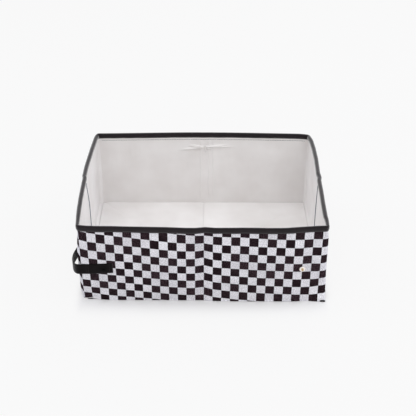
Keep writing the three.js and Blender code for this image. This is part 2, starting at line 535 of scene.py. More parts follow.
@dataclass(frozen=True)
class PlainWeave:
    """A one-coloured woven cloth or tape: matt, with a weave of threads, painted shade in its hollows and a
    little uneven dye.
    """

    name: str
    colour: str
    shade: str
    warp: float
    weft: float
    roughness: float
    relief: float
    shine: float
    # Fuzz of the yarn, which shows at a glancing angle
    sheen: float = 0.0
    sheen_roughness: float = 0.4
    blot_size: float = 30.0 * MM
    # Share of the weave's painted shade, darker in its hollows, in the mix towards the darker colour
    painted_weave_shade: float = 0.2

    def make(self) -> Material:
        """Build the material.

        Returns:
            The material.
        """
        material, tree = blank_material(self.name)
        cloth = add_node(tree, "Attribute", attribute_name="cloth").outputs["Vector"]
        spots = {"Vector": cloth, "Scale": 1.0 / self.blot_size}
        blot = add_node(tree, "TexNoise", spots, noise_dimensions="2D")
        height = weave_height(tree, cloth, self.warp, self.weft)
        # The weave's height picks the darker colour in its hollows as painted shade; the blots are uneven
        # dye
        share = add_node(tree, "Math", {0: height, 1: self.painted_weave_shade, 2: blot}, operation="MULTIPLY_ADD")
        shades = {0: share, 6: linear(self.colour), 7: linear(self.shade)}
        dyed = add_node(tree, "Mix", shades, data_type="RGBA")
        bump = add_node(tree, "Bump", {"Strength": 0.6, "Distance": self.relief, "Height": height})
        look = {
            "Base Color": dyed.outputs[2],
            "Roughness": self.roughness,
            "Specular IOR Level": self.shine,
            "Sheen Weight": self.sheen,
            "Sheen Roughness": self.sheen_roughness,
            "Normal": bump,
        }
        add_node(tree, "OutputMaterial", {"Surface": add_node(tree, "BsdfPrincipled", look)})
        return material


@dataclass(frozen=True)
class CoatedLining:
    """Polyester lining with a waterproof coating: smooth, slightly waxy, with faint crackle and threads."""

    name: str = "coated_polyester_lining"
    colour: str = "#e5e3e2"
    shade: str = "#d5d1cf"
    # The real thread is 0.2 mm; it is drawn coarser, so that the relief shows
    thread: float = 0.8 * MM
    blot_size: float = 50.0 * MM
    # Size of the crackle's fields, and the share of a field that its veins take
    crackle_size: float = 11.0 * MM
    vein: float = 0.06
    relief: float = 0.15 * MM
    roughness: float = 0.5
    uneven_roughness: float = 0.12

    def make(self) -> Material:
        """Build the material.

        Returns:
            The material.
        """
        material, tree = blank_material(self.name)
        cloth = add_node(tree, "Attribute", attribute_name="cloth").outputs["Vector"]
        spots = {"Vector": cloth, "Scale": 1.0 / self.blot_size}
        blot = add_node(tree, "TexNoise", spots, noise_dimensions="2D")
        fields = {"Vector": cloth, "Scale": 1.0 / self.crackle_size, "Randomness": 1.0}
        crackle = add_node(tree, "TexVoronoi", fields, voronoi_dimensions="2D", feature="DISTANCE_TO_EDGE")
        veins = add_node(tree, "MapRange", {0: crackle, 1: 0.0, 2: self.vein, 3: 0.0, 4: 1.0})
        shades = {0: blot, 6: linear(self.colour), 7: linear(self.shade)}
        dyed = add_node(tree, "Mix", shades, data_type="RGBA")
        threads = weave_height(tree, cloth, self.thread, self.thread)
        relief = add_node(tree, "Math", {0: threads, 1: 0.15, 2: veins}, operation="MULTIPLY_ADD")
        bump = add_node(tree, "Bump", {"Strength": 0.3, "Distance": self.relief, "Height": relief})
        steps = {0: blot, 1: self.uneven_roughness, 2: self.roughness}
        rough = add_node(tree, "Math", steps, operation="MULTIPLY_ADD")
        look = {"Base Color": dyed.outputs[2], "Roughness": rough, "Normal": bump}
        add_node(tree, "OutputMaterial", {"Surface": add_node(tree, "BsdfPrincipled", look)})
        return material


@dataclass(frozen=True)
class PressedMetal:
    """Pressed brass with a plated or painted face: fine turning marks and rubbed edges."""

    name: str
    colour: str
    rubbed: str
    metallic: float
    roughness: float
    coat: float
    shine: float = 0.5
    coat_roughness: float = 0.1
    # Size of the scuffs, and how sharp an edge is where it is rubbed
    scuff_size: float = 0.6 * MM
    rubbed_edge: tuple[float, float] = (0.5, 0.6)
    uneven_roughness: float = 0.15
    relief: float = 0.02 * MM

    def make(self) -> Material:
        """Build the material.

        Returns:
            The material.
        """
        material, tree = blank_material(self.name)
        place = add_node(tree, "TexCoord").outputs["Object"]
        spots = {"Vector": place, "Scale": 1.0 / self.scuff_size, "Detail": 4.0}
        scuffs = add_node(tree, "TexNoise", spots)
        edges = add_node(tree, "NewGeometry").outputs["Pointiness"]
        low, high = self.rubbed_edge
        worn = add_node(tree, "MapRange", {0: edges, 1: low, 2: high, 3: 0.0, 4: 1.0})
        share = add_node(tree, "Math", {0: worn, 1: scuffs}, operation="MULTIPLY")
        shades = {0: share, 6: linear(self.colour), 7: linear(self.rubbed)}
        colour = add_node(tree, "Mix", shades, data_type="RGBA")
        steps = {0: scuffs, 1: self.uneven_roughness, 2: self.roughness}
        rough = add_node(tree, "Math", steps, operation="MULTIPLY_ADD")
        bump = add_node(tree, "Bump", {"Strength": 0.2, "Distance": self.relief, "Height": scuffs})
        look = {
            "Base Color": colour.outputs[2],
            "Metallic": self.metallic,
            "Roughness": rough,
            "Specular IOR Level": self.shine,
            "Coat Weight": self.coat,
            "Coat Roughness": self.coat_roughness,
            "Normal": bump,
        }
        add_node(tree, "OutputMaterial", {"Surface": add_node(tree, "BsdfPrincipled", look)})
        return material


@dataclass(frozen=True)
class PolypropyleneBoard:
    """Extruded polypropylene sheet: translucent white, waxy, with faint flow lines."""

    name: str = "extruded_polypropylene_board"
    colour: str = "#d9d8d3"
    shade: str = "#c9c8c2"
    flow_line: float = 4.0 * MM
    relief: float = 0.05 * MM
    roughness: float = 0.5
    ior: float = 1.49

    def make(self) -> Material:
        """Build the material.

        Returns:
            The material.
        """
        material, tree = blank_material(self.name)
        cloth = add_node(tree, "Attribute", attribute_name="cloth").outputs["Vector"]
        across = add_node(tree, "SeparateXYZ", {0: cloth}).outputs[1]
        spots = {"W": across, "Scale": 1.0 / self.flow_line}
        lines = add_node(tree, "TexNoise", spots, noise_dimensions="1D")
        shades = {0: lines, 6: linear(self.colour), 7: linear(self.shade)}
        colour = add_node(tree, "Mix", shades, data_type="RGBA")
        bump = add_node(tree, "Bump", {"Strength": 0.2, "Distance": self.relief, "Height": lines})
        look = {
            "Base Color": colour.outputs[2],
            "Roughness": self.roughness,
            "IOR": self.ior,
            "Normal": bump,
        }
        add_node(tree, "OutputMaterial", {"Surface": add_node(tree, "BsdfPrincipled", look)})
        return material


def seen_rays(tree: Tree) -> bpy.types.Node:
    """Add nodes that give 1 for what is seen, also in gloss and through glass, and 0 for other light.

    Args:
        tree: The node tree.

    Returns:
        The node with the result.
    """
    rays = add_node(tree, "LightPath").outputs
    direct = {0: rays["Is Camera Ray"], 1: rays["Is Glossy Ray"]}
    seen = add_node(tree, "Math", direct, operation="MAXIMUM")
    return add_node(tree, "Math", {0: seen, 1: rays["Is Transmission Ray"]}, operation="MAXIMUM")


@dataclass(frozen=True)
class StudioFloor:
    """Matt white studio paper, which the camera sees near white but for a faint shadow by the box: the
    paper's real shade there, deepened by painted shade, as the paper is darker than the white round it.
    """

    name: str = "studio_paper"
    # The paper is darker than the white that is seen, which paints shade into the band round the box
    colour: str = "#dcdbdb"
    seen_white: float = 0.945
    white_share: float = 0.93
    # Half sizes of the ground under the box, and how far beyond it the paper shows its own shade, with
    # painted shade from its darker colour
    half_sizes: tuple[float, float] = (200.0 * MM, 150.0 * MM)
    shade_reaches: tuple[float, float] = (9.0 * MM, 28.0 * MM)

    def make(self) -> Material:
        """Build the material.

        Returns:
            The material.
        """
        material, tree = blank_material(self.name)
        cloth = add_node(tree, "Attribute", attribute_name="cloth").outputs["Vector"]
        place = add_node(tree, "SeparateXYZ", {0: cloth})
        squares = []
        for axis, (half, reach) in enumerate(zip(self.half_sizes, self.shade_reaches)):
            away = add_node(tree, "Math", {0: place.outputs[axis]}, operation="ABSOLUTE")
            away = add_node(tree, "Math", {0: away, 1: half}, operation="SUBTRACT")
            away = add_node(tree, "Math", {0: away, 1: 0.0}, operation="MAXIMUM")
            beyond = add_node(tree, "Math", {0: away, 1: reach}, operation="DIVIDE")
            squares.append(add_node(tree, "Math", {0: beyond, 1: beyond}, operation="MULTIPLY"))
        total = add_node(tree, "Math", {0: squares[0], 1: squares[1]}, operation="ADD")
        fall = add_node(tree, "Math", {0: total, 1: -1.0}, operation="MULTIPLY")
        near = add_node(tree, "Math", {0: fall}, operation="EXPONENT")
        # Near the box the darker paper takes over from the white: its real shade, deepened by painted shade
        steps = {0: near, 1: -self.white_share, 2: self.white_share}
        white = add_node(tree, "Math", steps, operation="MULTIPLY_ADD")
        share = add_node(tree, "Math", {0: seen_rays(tree), 1: white}, operation="MULTIPLY")
        paper = add_node(tree, "BsdfDiffuse", {"Color": linear(self.colour)})
        glow = add_node(tree, "Emission", {"Color": linear("#ffffff"), "Strength": self.seen_white})
        mixed = add_node(tree, "MixShader", {0: share, 1: paper, 2: glow})
        add_node(tree, "OutputMaterial", {"Surface": mixed})
        return material


@dataclass(frozen=True)
class Finishes:
    """The finishes of all the pieces, made together with this object."""

    canvas: Material = field(default_factory=CheckedCanvas().make)
    base_cloth: Material = field(
        default_factory=PlainWeave(
            "plain_black_canvas", "#150f12", "#2f262a",
            warp=0.9 * MM, weft=0.9 * MM, roughness=0.9, relief=0.12 * MM, shine=0.05,
        ).make
    )
    lining: Material = field(default_factory=CoatedLining().make)
    # Grosgrain tape has crosswise ribs, which catch the light as fine upright lines
    binding: Material = field(
        default_factory=PlainWeave(
            "black_grosgrain_tape", "#0e090b", "#1d1519",
            warp=1.1 * MM, weft=14.0 * MM, roughness=0.75, relief=0.15 * MM, shine=0.1, sheen=0.9,
        ).make
    )
    # Polypropylene webbing has a coarse weave with a slight shine
    webbing: Material = field(
        default_factory=PlainWeave(
            "polypropylene_webbing", "#080506", "#120d0f",
            warp=1.3 * MM, weft=1.9 * MM, roughness=0.65, relief=0.3 * MM, shine=0.03, sheen=0.3,
        ).make
    )
    # Sewing thread is finely twisted and has a soft shine
    thread: Material = field(
        default_factory=PlainWeave(
            "polyester_sewing_thread", "#1c1518", "#31282c",
            warp=0.3 * MM, weft=0.3 * MM, roughness=0.6, relief=0.05 * MM, shine=0.2,
        ).make
    )
    # Grey thread, darker than the lining, sews the seams and also paints the shade lines under the back
    # hem's edge and in the side creases
    shade_line_and_seam_thread: Material = field(
        default_factory=PlainWeave(
            "seam_thread_and_painted_shade_lines", "#5b626d", "#777e89",
            warp=0.3 * MM, weft=0.3 * MM, roughness=0.6, relief=0.05 * MM, shine=0.2,
        ).make
    )
    board: Material = field(default_factory=PolypropyleneBoard().make)
    plated: Material = field(
        default_factory=PressedMetal(
            "plated_brass", "#b39a6e", "#e2d3b4", metallic=1.0, roughness=0.3, coat=0.0
        ).make
    )
    pearl: Material = field(
        default_factory=PressedMetal(
            "pearl_lacquered_brass", "#f6f0ec", "#e2d6c4", metallic=0.1, roughness=0.3, coat=0.6
        ).make
    )
    painted: Material = field(
        default_factory=PressedMetal(
            "black_painted_brass", "#0a0809", "#1c1816", metallic=0.0, roughness=0.8, coat=0.0, shine=0.1
        ).make
    )


# Walls


@dataclass(frozen=True)
class WallForm:
    """Shape of the soft walls: a box with rounded corners that bows, creases and sags.

    Distances round the walls run to the right from the crease in the front wall.
    """

    sizes: BoxSizes
    corner: float = 4.0 * MM
    # How far the front rim sags, the back wall stands taller and its middle rises further
    front_sag: float = 3.4 * MM
    back_extra: float = 3.4 * MM
    back_rise: float = 1.4 * MM
    back_bow: float = 2.2 * MM
    # Bows of the other walls at the rim, by distance to the right or to the back, in millimetres
    front_rim: Table = (
        (-197.0, 0.0), (-184.0, 1.3), (-165.0, 1.4), (-145.0, 0.7), (-110.0, 1.0), (-60.0, 0.8),
        (-42.0, 1.7), (-28.0, 2.4), (-12.0, 2.4), (-4.0, 1.4), (3.0, 0.3), (9.0, 0.8), (20.0, 2.2),
        (60.0, 2.0), (85.0, 2.7), (105.0, 3.8), (122.0, 4.2), (135.0, 3.9), (149.0, 2.4), (165.0, 1.3),
        (180.0, 0.1), (197.0, 0.0),
    )
    left_rim: Table = (
        (-147.0, 0.0), (-140.0, 0.6), (-123.0, 1.8), (-106.0, 2.7), (-88.0, 3.4), (-69.0, 4.3),
        (-45.0, 4.8), (-22.0, 5.3), (-3.0, 5.7), (2.0, 7.1), (18.0, 7.4), (32.0, 7.4), (50.0, 6.9),
        (71.0, 6.1), (93.0, 5.1), (116.0, 3.9), (135.0, 2.6), (144.0, 1.2), (148.0, 0.0),
    )
    right_rim: Table = (
        (-147.0, 0.0), (-120.0, -1.8), (-80.0, -0.9), (-30.0, 0.2), (-9.0, 0.5), (-2.0, 2.0), (5.0, 1.9),
        (13.0, 1.2), (25.0, 1.8), (60.0, 3.0), (100.0, 2.9), (130.0, 1.5), (145.0, 0.6), (148.0, 0.0),
    )
    left_belly: float = 5.5 * MM
    right_belly: float = 4.0 * MM
    # Share of the belly that is left at a side crease, and how wide the crease is
    side_crease_share: float = 0.68
    side_crease_width: float = 8.0 * MM
    # Bulges of the front panels below the rim, and how far the crease stays back
    right_bulge: float = 2.3 * MM
    left_bulge: float = 2.6 * MM
    left_high_bulge: float = 2.0 * MM
    crease_recess: float = 2.5 * MM
    # How far the front right corner is drawn to the right and back, above and low down
    high_tuck: tuple[float, float] = (1.7 * MM, 3.5 * MM)
    low_tuck: tuple[float, float] = (4.2 * MM, 4.8 * MM)
    # Heights between which the low tuck fades, and how far the tucks reach along the side
    tuck_fade: tuple[float, float] = (12.0 * MM, 80.0 * MM)
    tuck_reach: float = 26.0 * MM
    # How far the rim's right corners are drawn in, and how far the one at the back hangs down
    rim_tuck: float = 1.6 * MM
    corner_drop: float = 1.6 * MM
    # How far the bottom edge stands out at the front right corner, and is drawn back at the left one
    right_foot: float = 3.2 * MM
    left_foot: float = 5.0 * MM
    # Checks, and how the cloth lies askew
    column: float = 14.47 * MM
    row: float = 15.6 * MM
    first_column: float = 1.3 * MM
    first_row: float = 10.7 * MM
    column_stretch: float = 0.00066
    skew: float = 0.085
    skew_bend: float = 0.12
    skew_round: float = 0.06
    skew_twist: float = 0.04
    skew_belly: float = 4.8 * MM
    skew_corner: float = 2.0 * MM

    def locate(self, along: Array) -> tuple[Array, Array, Array]:
        """Find the wall of each distance round the walls.

        Args:
            along: Distances round the walls.

        Returns:
            The wall's number, the distance from the wall's middle, and half the wall's length.
        """
        width, depth = self.sizes.width, self.sizes.depth
        run = np.mod(np.asarray(along, float) + width / 2, self.sizes.round_trip)
        starts = np.array([0.0, width, width + depth, 2 * width + depth])
        lengths = np.array([width, depth, width, depth])
        wall = np.clip(np.searchsorted(starts, run, side="right") - 1, 0, 3)
        return wall, run - starts[wall] - lengths[wall] / 2, lengths[wall] / 2

    def ring(self, along: Array) -> tuple[Array, Array]:
        """Plan of the outer face.

        Args:
            along: Distances round the walls.

        Returns:
            The places in plan, and the directions that point out.
        """
        wall, middle, half = self.locate(along)
        tangents = np.array([[1.0, 0.0], [0.0, 1.0], [-1.0, 0.0], [0.0, -1.0]])[wall]
        normals = np.array([[0.0, -1.0], [1.0, 0.0], [0.0, 1.0], [-1.0, 0.0]])[wall]
        width, depth = self.sizes.width, self.sizes.depth
        reach = np.array([depth, width, depth, width])[wall] / 2
        straight = half - self.corner
        turn = np.clip(np.abs(middle) - straight, 0.0, self.corner) / self.corner * math.pi / 4
        side = np.sign(middle)
        flat = side * (np.minimum(np.abs(middle), straight) + self.corner * np.sin(turn))
        out = reach - self.corner + self.corner * np.cos(turn)
        place = tangents * flat[..., None] + normals * out[..., None]
        facing = normals * np.cos(turn)[..., None] + tangents * (side * np.sin(turn))[..., None]
        return place, facing

    def from_folds(self, along: Array) -> Array:
        """Distance to the nearest corner or crease."""
        _, middle, half = self.locate(along)
        return np.minimum(np.abs(middle), half - np.abs(middle))

    def bow(self, along: Array, height: Array) -> Array:
        """How far the wall stands out from its plane.

        Args:
            along: Distances round the walls.
            height: Heights on the flat cloth.

        Returns:
            Distances out.
        """
        wall, middle, half = self.locate(along)
        level = np.clip(height / self.sizes.height, 0.0, 1.05)
        back = self.back_bow * (1.0 - smooth(0.0, 0.94, np.abs(middle) / half)) * level**2.0
        right = self.side_bow(middle, height, self.right_rim, self.right_belly, 0.6)
        left = self.side_bow(-middle, height, self.left_rim, self.left_belly, 0.2)
        return np.choose(wall, [self.front_bow(middle, height), right, back, left])

    def front_bow(self, middle: Array, height: Array) -> Array:
        """Bow of the front wall: two panels that bulge below the rim, beside the crease.

        Args:
            middle: Distances to the right of the crease.
            height: Heights on the flat cloth.

        Returns:
            Distances out.
        """
        away = np.abs(middle)
        foot = smooth(0.0, 16.0 * MM, height)
        rise = 1.0 - np.exp(-away / (15.0 * MM))
        right = self.right_bulge * (1.0 - smooth(150.0 * MM, 180.0 * MM, away))
        right = right * (1.3 - 0.4 * foot + 0.85 * smooth(55.0 * MM, 100.0 * MM, height))
        left = self.left_bulge * (1.0 - smooth(45.0 * MM, 125.0 * MM, away)) * (0.1 + 0.95 * foot)
        high = smooth(45.0 * MM, 90.0 * MM, height) * (1.0 - smooth(186.0 * MM, 199.0 * MM, away))
        left = left + self.left_high_bulge * high
        recess = self.crease_recess * np.exp(-((away / (12.0 * MM)) ** 2)) * foot
        recess = recess * (1.0 - smooth(88.0 * MM, 122.0 * MM, height))
        low = np.where(middle > 0.0, right, left) * rise - recess
        top = smooth(112.0 * MM, 148.0 * MM, height)
        places, bows = np.array(self.front_rim).T * MM
        return low * (1.0 - top) + np.interp(middle, places, bows) * top

    def side_bow(self, back: Array, height: Array, rim: Table, belly: float, slope: float) -> Array:
        """Bow of a side wall.

        Args:
            back: Distances from the wall's middle towards the back.
            height: Heights on the flat cloth.
            rim: Distances towards the back and bows at the rim, in millimetres.
            belly: Bow below the rim.
            slope: Share of the belly that is lost from the bottom to the rim.

        Returns:
            How far the wall stands out.
        """
        places, bows = np.array(rim).T * MM
        from_corner = self.sizes.depth / 2 - np.abs(back)
        crease = 1.0 - (1.0 - self.side_crease_share) * np.exp(-np.abs(back) / self.side_crease_width)
        low = belly * smooth(1.0 * MM, 14.0 * MM, from_corner) * smooth(0.0, 9.0 * MM, height)
        low = low * (1.0 - slope * np.clip(height / self.sizes.height, 0.0, 1.0))
        top = smooth(85.0 * MM, 148.0 * MM, height)
        return low * crease * (1.0 - top) + np.interp(back, places, bows) * top

    def tuck(self, plan: Array, height: Array) -> Array:
        """How far each place in plan is drawn to the right and back, at the front right corner.

        Args:
            plan: Places in plan.
            height: Heights on the flat cloth.

        Returns:
            The two distances for each place.
        """
        low = 1.0 - smooth(*self.tuck_fade, height)
        high = 1.0 - smooth(110.0 * MM, 142.0 * MM, height)
        right, back = (h * high + (f - h) * low for h, f in zip(self.high_tuck, self.low_tuck))
        width = (13.0 + 13.0 * low) * MM
        beyond = plan[..., 0] - self.sizes.width / 2
        behind = plan[..., 1] + self.sizes.depth / 2
        near = 1.0 - smooth(0.0, self.tuck_reach, behind)
        right = right * smooth(-9.0 * MM, -0.5 * MM, beyond) * near
        back = back * np.clip(1.0 + beyond / width, 0.0, 1.1) ** 1.5
        back = back * (1.0 - smooth(0.0, 60.0 * MM, behind))
        back = back * smooth(1.0 * MM, 20.0 * MM, height)
        rim = smooth(125.0 * MM, 148.0 * MM, height) * smooth(-12.0 * MM, -0.5 * MM, beyond)
        far = 1.0 - smooth(0.0, self.tuck_reach, self.sizes.depth / 2 - plan[..., 1])
        right = right - self.rim_tuck * rim * np.maximum(near, far)
        foot = 1.0 - smooth(0.0, 20.0 * MM, height)
        back = back - self.right_foot * foot * smooth(-45.0 * MM, 0.0, beyond) * near
        left_end = smooth(self.sizes.width / 2 - 60.0 * MM, self.sizes.width / 2, -plan[..., 0])
        low_left = 1.0 - smooth(0.0, 30.0 * MM, height)
        back = back + self.left_foot * low_left * left_end**1.5 * near
        return np.stack([right, back], -1)

    def lift(self, along: Array, height: Array) -> Array:
        """How far a point is raised, as the front rim sags and the back wall stands taller.

        Args:
            along: Distances round the walls.
            height: Heights on the flat cloth.

        Returns:
            Distances up.
        """
        wall, middle, half = self.locate(along)
        arch = 1.0 - (middle / half) ** 2
        climb = 0.5 * self.back_extra * (1.0 + middle / half)
        fall = self.back_extra - climb
        high = self.back_extra + self.back_rise * arch
        to_corner = half + np.where(wall == Wall.BACK, middle, -middle)
        drop = self.corner_drop * np.exp(-((to_corner / (12.0 * MM)) ** 2))
        rises = [-self.front_sag * arch, climb - drop, high - drop, fall]
        return np.choose(wall, rises) * height / self.sizes.height

    def ripple(self, along: Array, height: Array) -> Array:
        """Small unevenness of the cloth on its board.

        Args:
            along: Distances round the walls.
            height: Heights on the flat cloth.

        Returns:
            Distances out.
        """
        slow = 0.32 * MM * soft_noise(along, height, 52.0 * MM, 3)
        quick = 0.11 * MM * soft_noise(along, height, 16.0 * MM, 7)
        free = smooth(3.0 * MM, 16.0 * MM, self.from_folds(along)) * smooth(0.0, 12.0 * MM, height)
        return (slow + quick) * free

    def place(self, along: Array, height: Array, inward: Array | float) -> Array:
        """Points of the wall.

        Args:
            along: Distances round the walls.
            height: Heights on the flat cloth.
            inward: Distances in from the outer face.

        Returns:
            The points, in the shape that the three arguments share.
        """
        along, height, inward = np.broadcast_arrays(
            np.asarray(along, float), np.asarray(height, float), np.asarray(inward, float)
        )
        plan, facing = self.ring(along)
        out = self.bow(along, height) + self.ripple(along, height) - inward
        plan = plan + facing * out[..., None]
        plan = plan + self.tuck(plan, height)
        return np.concatenate([plan, (height + self.lift(along, height))[..., None]], -1)

    def checks(self, along: Array, height: Array) -> Array:
        """Column and row of the checks at each place, on cloth that lies a little askew.

        Args:
            along: Distances round the walls.
            height: Heights on the flat cloth.

        Returns:
            The columns and rows, in checks.
        """
        half = self.sizes.width / 2
        seam = self.sizes.width * 1.5 + self.sizes.depth
        along = np.where(along > seam, along - self.sizes.round_trip, along)
        near = np.clip(along, -half, half)
        drop = self.skew * near - self.skew_bend * near**2 + self.skew_round * (along - near)
        left = np.clip(-along / (0.8 * half), 0.0, 1.0)
        right = np.clip(along / (0.3 * half), 0.0, 1.0)
        drop = drop + self.skew_belly * np.sin(math.pi * height / self.sizes.height) * left
        drop = drop + self.skew_twist * (self.sizes.height / 2 - height) * right
        corner = smooth(half - 26.0 * MM, half, near) * (1.0 - smooth(*self.tuck_fade, height))
        drop = drop - self.skew_corner * corner
        column = (along - self.first_column) / self.column
        near_column = np.clip(column, -half / self.column, half / self.column)
        column = column - self.column_stretch * near_column**2
        return np.stack([column, (height + drop - self.first_row) / self.row], -1)


@dataclass(frozen=True)
class LiningRelief:
    """Puckers and creases of the lining, which stand in from the board."""

    form: WallForm
    pucker: float = 0.8 * MM
    side_pucker: float = 1.7 * MM
    line: float = 1.2 * MM
    # Groove in the lining at the side creases, and the folded hem under the binding
    groove: float = 1.1 * MM
    hem: float = 0.7 * MM
    hem_height: float = 11.6 * MM
    # Wrinkles that run out from the tack at the middle of the back wall
    ray: float = 3.2 * MM
    ray_width: float = 1.5 * MM
    # Angle in degrees, up from the left, and reach in millimetres of each wrinkle
    rays: Table = (
        (3.0, 36.0), (-9.0, 52.0), (-18.0, 24.0), (-90.0, 14.0), (-148.0, 16.0), (-180.0, 60.0),
        (175.0, 52.0),
    )

    def tack(self) -> tuple[float, float]:
        """Distance round the walls, and height, of the tack.

        Returns:
            The two distances.
        """
        low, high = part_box("liner_tack")
        middle = (low + high) / 2
        along = self.form.sizes.width + self.form.sizes.depth - middle.x
        stretch = 1.0 + (self.form.back_extra + self.form.back_rise) / self.form.sizes.height
        return along, middle.z / stretch

    def star(self, along: Array, height: Array) -> Array:
        """Wrinkles round the tack.

        Args:
            along: Distances round the walls.
            height: Heights on the flat cloth.

        Returns:
            How far they stand in.
        """
        tack_along, tack_height = self.tack()
        across, up = along - tack_along, height - tack_height
        total = np.zeros_like(across)
        for degrees, length in self.rays:
            turn, reach = math.radians(degrees), length * MM
            out = across * math.cos(turn) + up * math.sin(turn)
            aside = across * math.sin(turn) - up * math.cos(turn)
            rise = smooth(0.0, 5.0 * MM, out) * (1.0 - smooth(0.35 * reach, reach, out))
            width = self.ray_width * (0.55 + out.clip(0.0, reach) / reach)
            total = np.maximum(total, rise * np.exp(-((aside / width) ** 2)))
        return self.ray * total

    def height_in(self, along: Array, height: Array) -> Array:
        """How far the lining stands in from the board.

        Args:
            along: Distances round the walls.
            height: Heights on the flat cloth.

        Returns:
            Distances in.
        """
        wall, middle, _ = self.form.locate(along)
        free = smooth(2.0 * MM, 15.0 * MM, self.form.from_folds(along)) * smooth(0.0, 12.0 * MM, height)
        top = self.form.sizes.height
        free = free * (1.0 - smooth(top - 18.0 * MM, top - 8.0 * MM, height))
        wide = np.clip(soft_noise(along, height * 0.6, 30.0 * MM, 11), 0.0, 1.0) ** 1.3
        tall = np.clip(soft_noise(along, height * 0.3, 9.0 * MM, 19) - 0.25, 0.0, 1.0)
        folds = np.clip(soft_noise(along + 0.12 * height, height * 0.22, 17.0 * MM, 29), 0.0, 1.0) ** 0.8
        back, sides = wall == Wall.BACK, (wall == Wall.RIGHT) | (wall == Wall.LEFT)
        on_sides = self.side_pucker * (0.8 * folds + 0.3 * tall)
        total = np.where(sides, on_sides, self.pucker * (wide + 0.55 * tall)) * free
        lines = np.zeros_like(total)
        for place, strength in ((5.0 * MM, 1.0), (-10.0 * MM, 0.8), (-18.0 * MM, 0.6)):
            beside = (middle - place) / np.where(middle > place, 1.0 * MM, 5.0 * MM)
            lines = np.maximum(lines, strength * np.exp(-(beside**2)))
        fade = smooth(8.0 * MM, 30.0 * MM, height)
        fade = fade * (1.0 - smooth(top - 20.0 * MM, top - 12.0 * MM, height))
        behind = np.maximum(self.star(along, height), self.line * lines * fade)
        under = top - self.hem_height
        hem = self.hem * smooth(under, under + 0.9 * MM, height)
        seam = 0.5 * self.hem * np.exp(-(((height - under + 0.6 * MM) / (0.7 * MM)) ** 2))
        crease = self.groove * np.exp(-((middle / (0.9 * MM)) ** 2))
        crease = crease * (1.0 - smooth(top - 12.0 * MM, top - 6.0 * MM, height))
        total = total * np.where(back, 0.6, 1.0) + np.where(back, behind, 0.0)
        return total + hem - seam - np.where(sides, crease, 0.0)


@dataclass(frozen=True)
class RimTape:
    """Binding tape that is folded over the rim and sewn through."""

    form: WallForm
    outer_leg: float
    inner_leg: float = 7.5 * MM
    thickness: float = 0.8 * MM
    loft: float = 1.0 * MM
    # How much looser the tape is along the sides and the back
    more_loft: float = 0.8 * MM
    clearance: float = 0.02 * MM
    shoulder: float = 1.8 * MM

    def fullness(self, along: Array) -> Array:
        """How loose the tape is at distances round the walls, from 0 to 1.

        Args:
            along: Distances round the walls.

        Returns:
            The shares.
        """
        wall, middle, half = self.form.locate(along)
        from_front = np.choose(wall, [0.0 * half, half + middle, 2.0 * half, half - middle])
        return smooth(0.0, 50.0 * MM, from_front)

    def centre_line(self, full: float) -> Array:
        """Middle of the tape's section, from its outer edge to its inner one.

        Args:
            full: How loose the tape is, from 0 to 1.

        Returns:
            The points, as distances in and heights.
        """
        half_panel = self.form.sizes.panel / 2
        start = self.clearance + self.thickness / 2
        loft = self.loft + self.more_loft * full
        radius = half_panel + start + loft
        bend = self.form.sizes.height - self.shoulder
        steps = np.linspace(0.0, 1.0, 8)
        outer_low = self.form.sizes.height - self.outer_leg
        outer_in = -start - loft * smooth(0.1, 0.4, steps)
        outer = np.column_stack([outer_in, outer_low + (bend - outer_low) * steps])
        angles = np.linspace(math.pi, 0.0, 13)[1:-1]
        over = np.column_stack([half_panel + radius * np.cos(angles), bend + radius * np.sin(angles)])
        inner_low = self.form.sizes.height - self.inner_leg
        inner_steps = np.linspace(0.0, 1.0, 5)
        inner_in = self.form.sizes.panel + start + loft * (1.0 - smooth(0.5, 1.0, inner_steps))
        inner = np.column_stack([inner_in, bend + (inner_low - bend) * inner_steps])
        return np.concatenate([outer, over, inner])

    def section(self, full: float) -> tuple[Array, Array]:
        """Closed outline of the tape, and the distance across the tape at each of its points.

        Args:
            full: How loose the tape is, from 0 to 1.

        Returns:
            The outline and the distances.
        """
        line = self.centre_line(full)
        ahead = np.gradient(line, axis=0)
        ahead = ahead / np.linalg.norm(ahead, axis=1)[:, None]
        aside = np.column_stack([-ahead[:, 1], ahead[:, 0]]) * self.thickness / 2
        across = run_along(line)
        first = line[0] - ahead[0] * self.thickness / 4
        last = line[-1] + ahead[-1] * self.thickness / 4
        outline = np.concatenate([[first], line + aside, [last], (line - aside)[::-1]])
        places = np.concatenate([[0.0], across, [across[-1]], across[::-1]])
        return outline, places

    def rings(self, along: Array) -> tuple[Array, Array]:
        """Sections of the tape along the rim, and their places on the tape.

        Args:
            along: Distances round the walls.

        Returns:
            The sections and the places.
        """
        outline, places = self.section(0.0)
        fuller = self.section(1.0)[0] - outline
        share = self.fullness(along)[:, None]
        run = np.repeat(along[:, None], len(outline), 1)
        inward = outline[:, 0] + fuller[:, 0] * share
        height = outline[:, 1] + fuller[:, 1] * share
        low = self.form.sizes.height - self.outer_leg
        waver = 0.25 * MM * soft_noise(run, run * 0.0, 14.0 * MM, 23)
        waver = waver * (1.0 - smooth(0.0, 5.0 * MM, height - low))
        points = self.form.place(run, height + waver, inward)
        return points, np.stack([run, np.broadcast_to(places, run.shape)], -1)

    def stitch_lines(self, along: float) -> list[tuple[float, float]]:
        """Places of the outer and the inner row of stitches.

        Args:
            along: Distance round the walls.

        Returns:
            Distance in and height of the outer row, and of the inner one.
        """
        line = self.centre_line(float(self.fullness(np.array([along]))[0]))
        outer = line[0]
        inner = line[-1]
        surface = self.thickness / 2
        return [
            (outer[0] - surface, outer[1] + 1.6 * MM),
            (inner[0] + surface, inner[1] + 1.2 * MM),
        ]


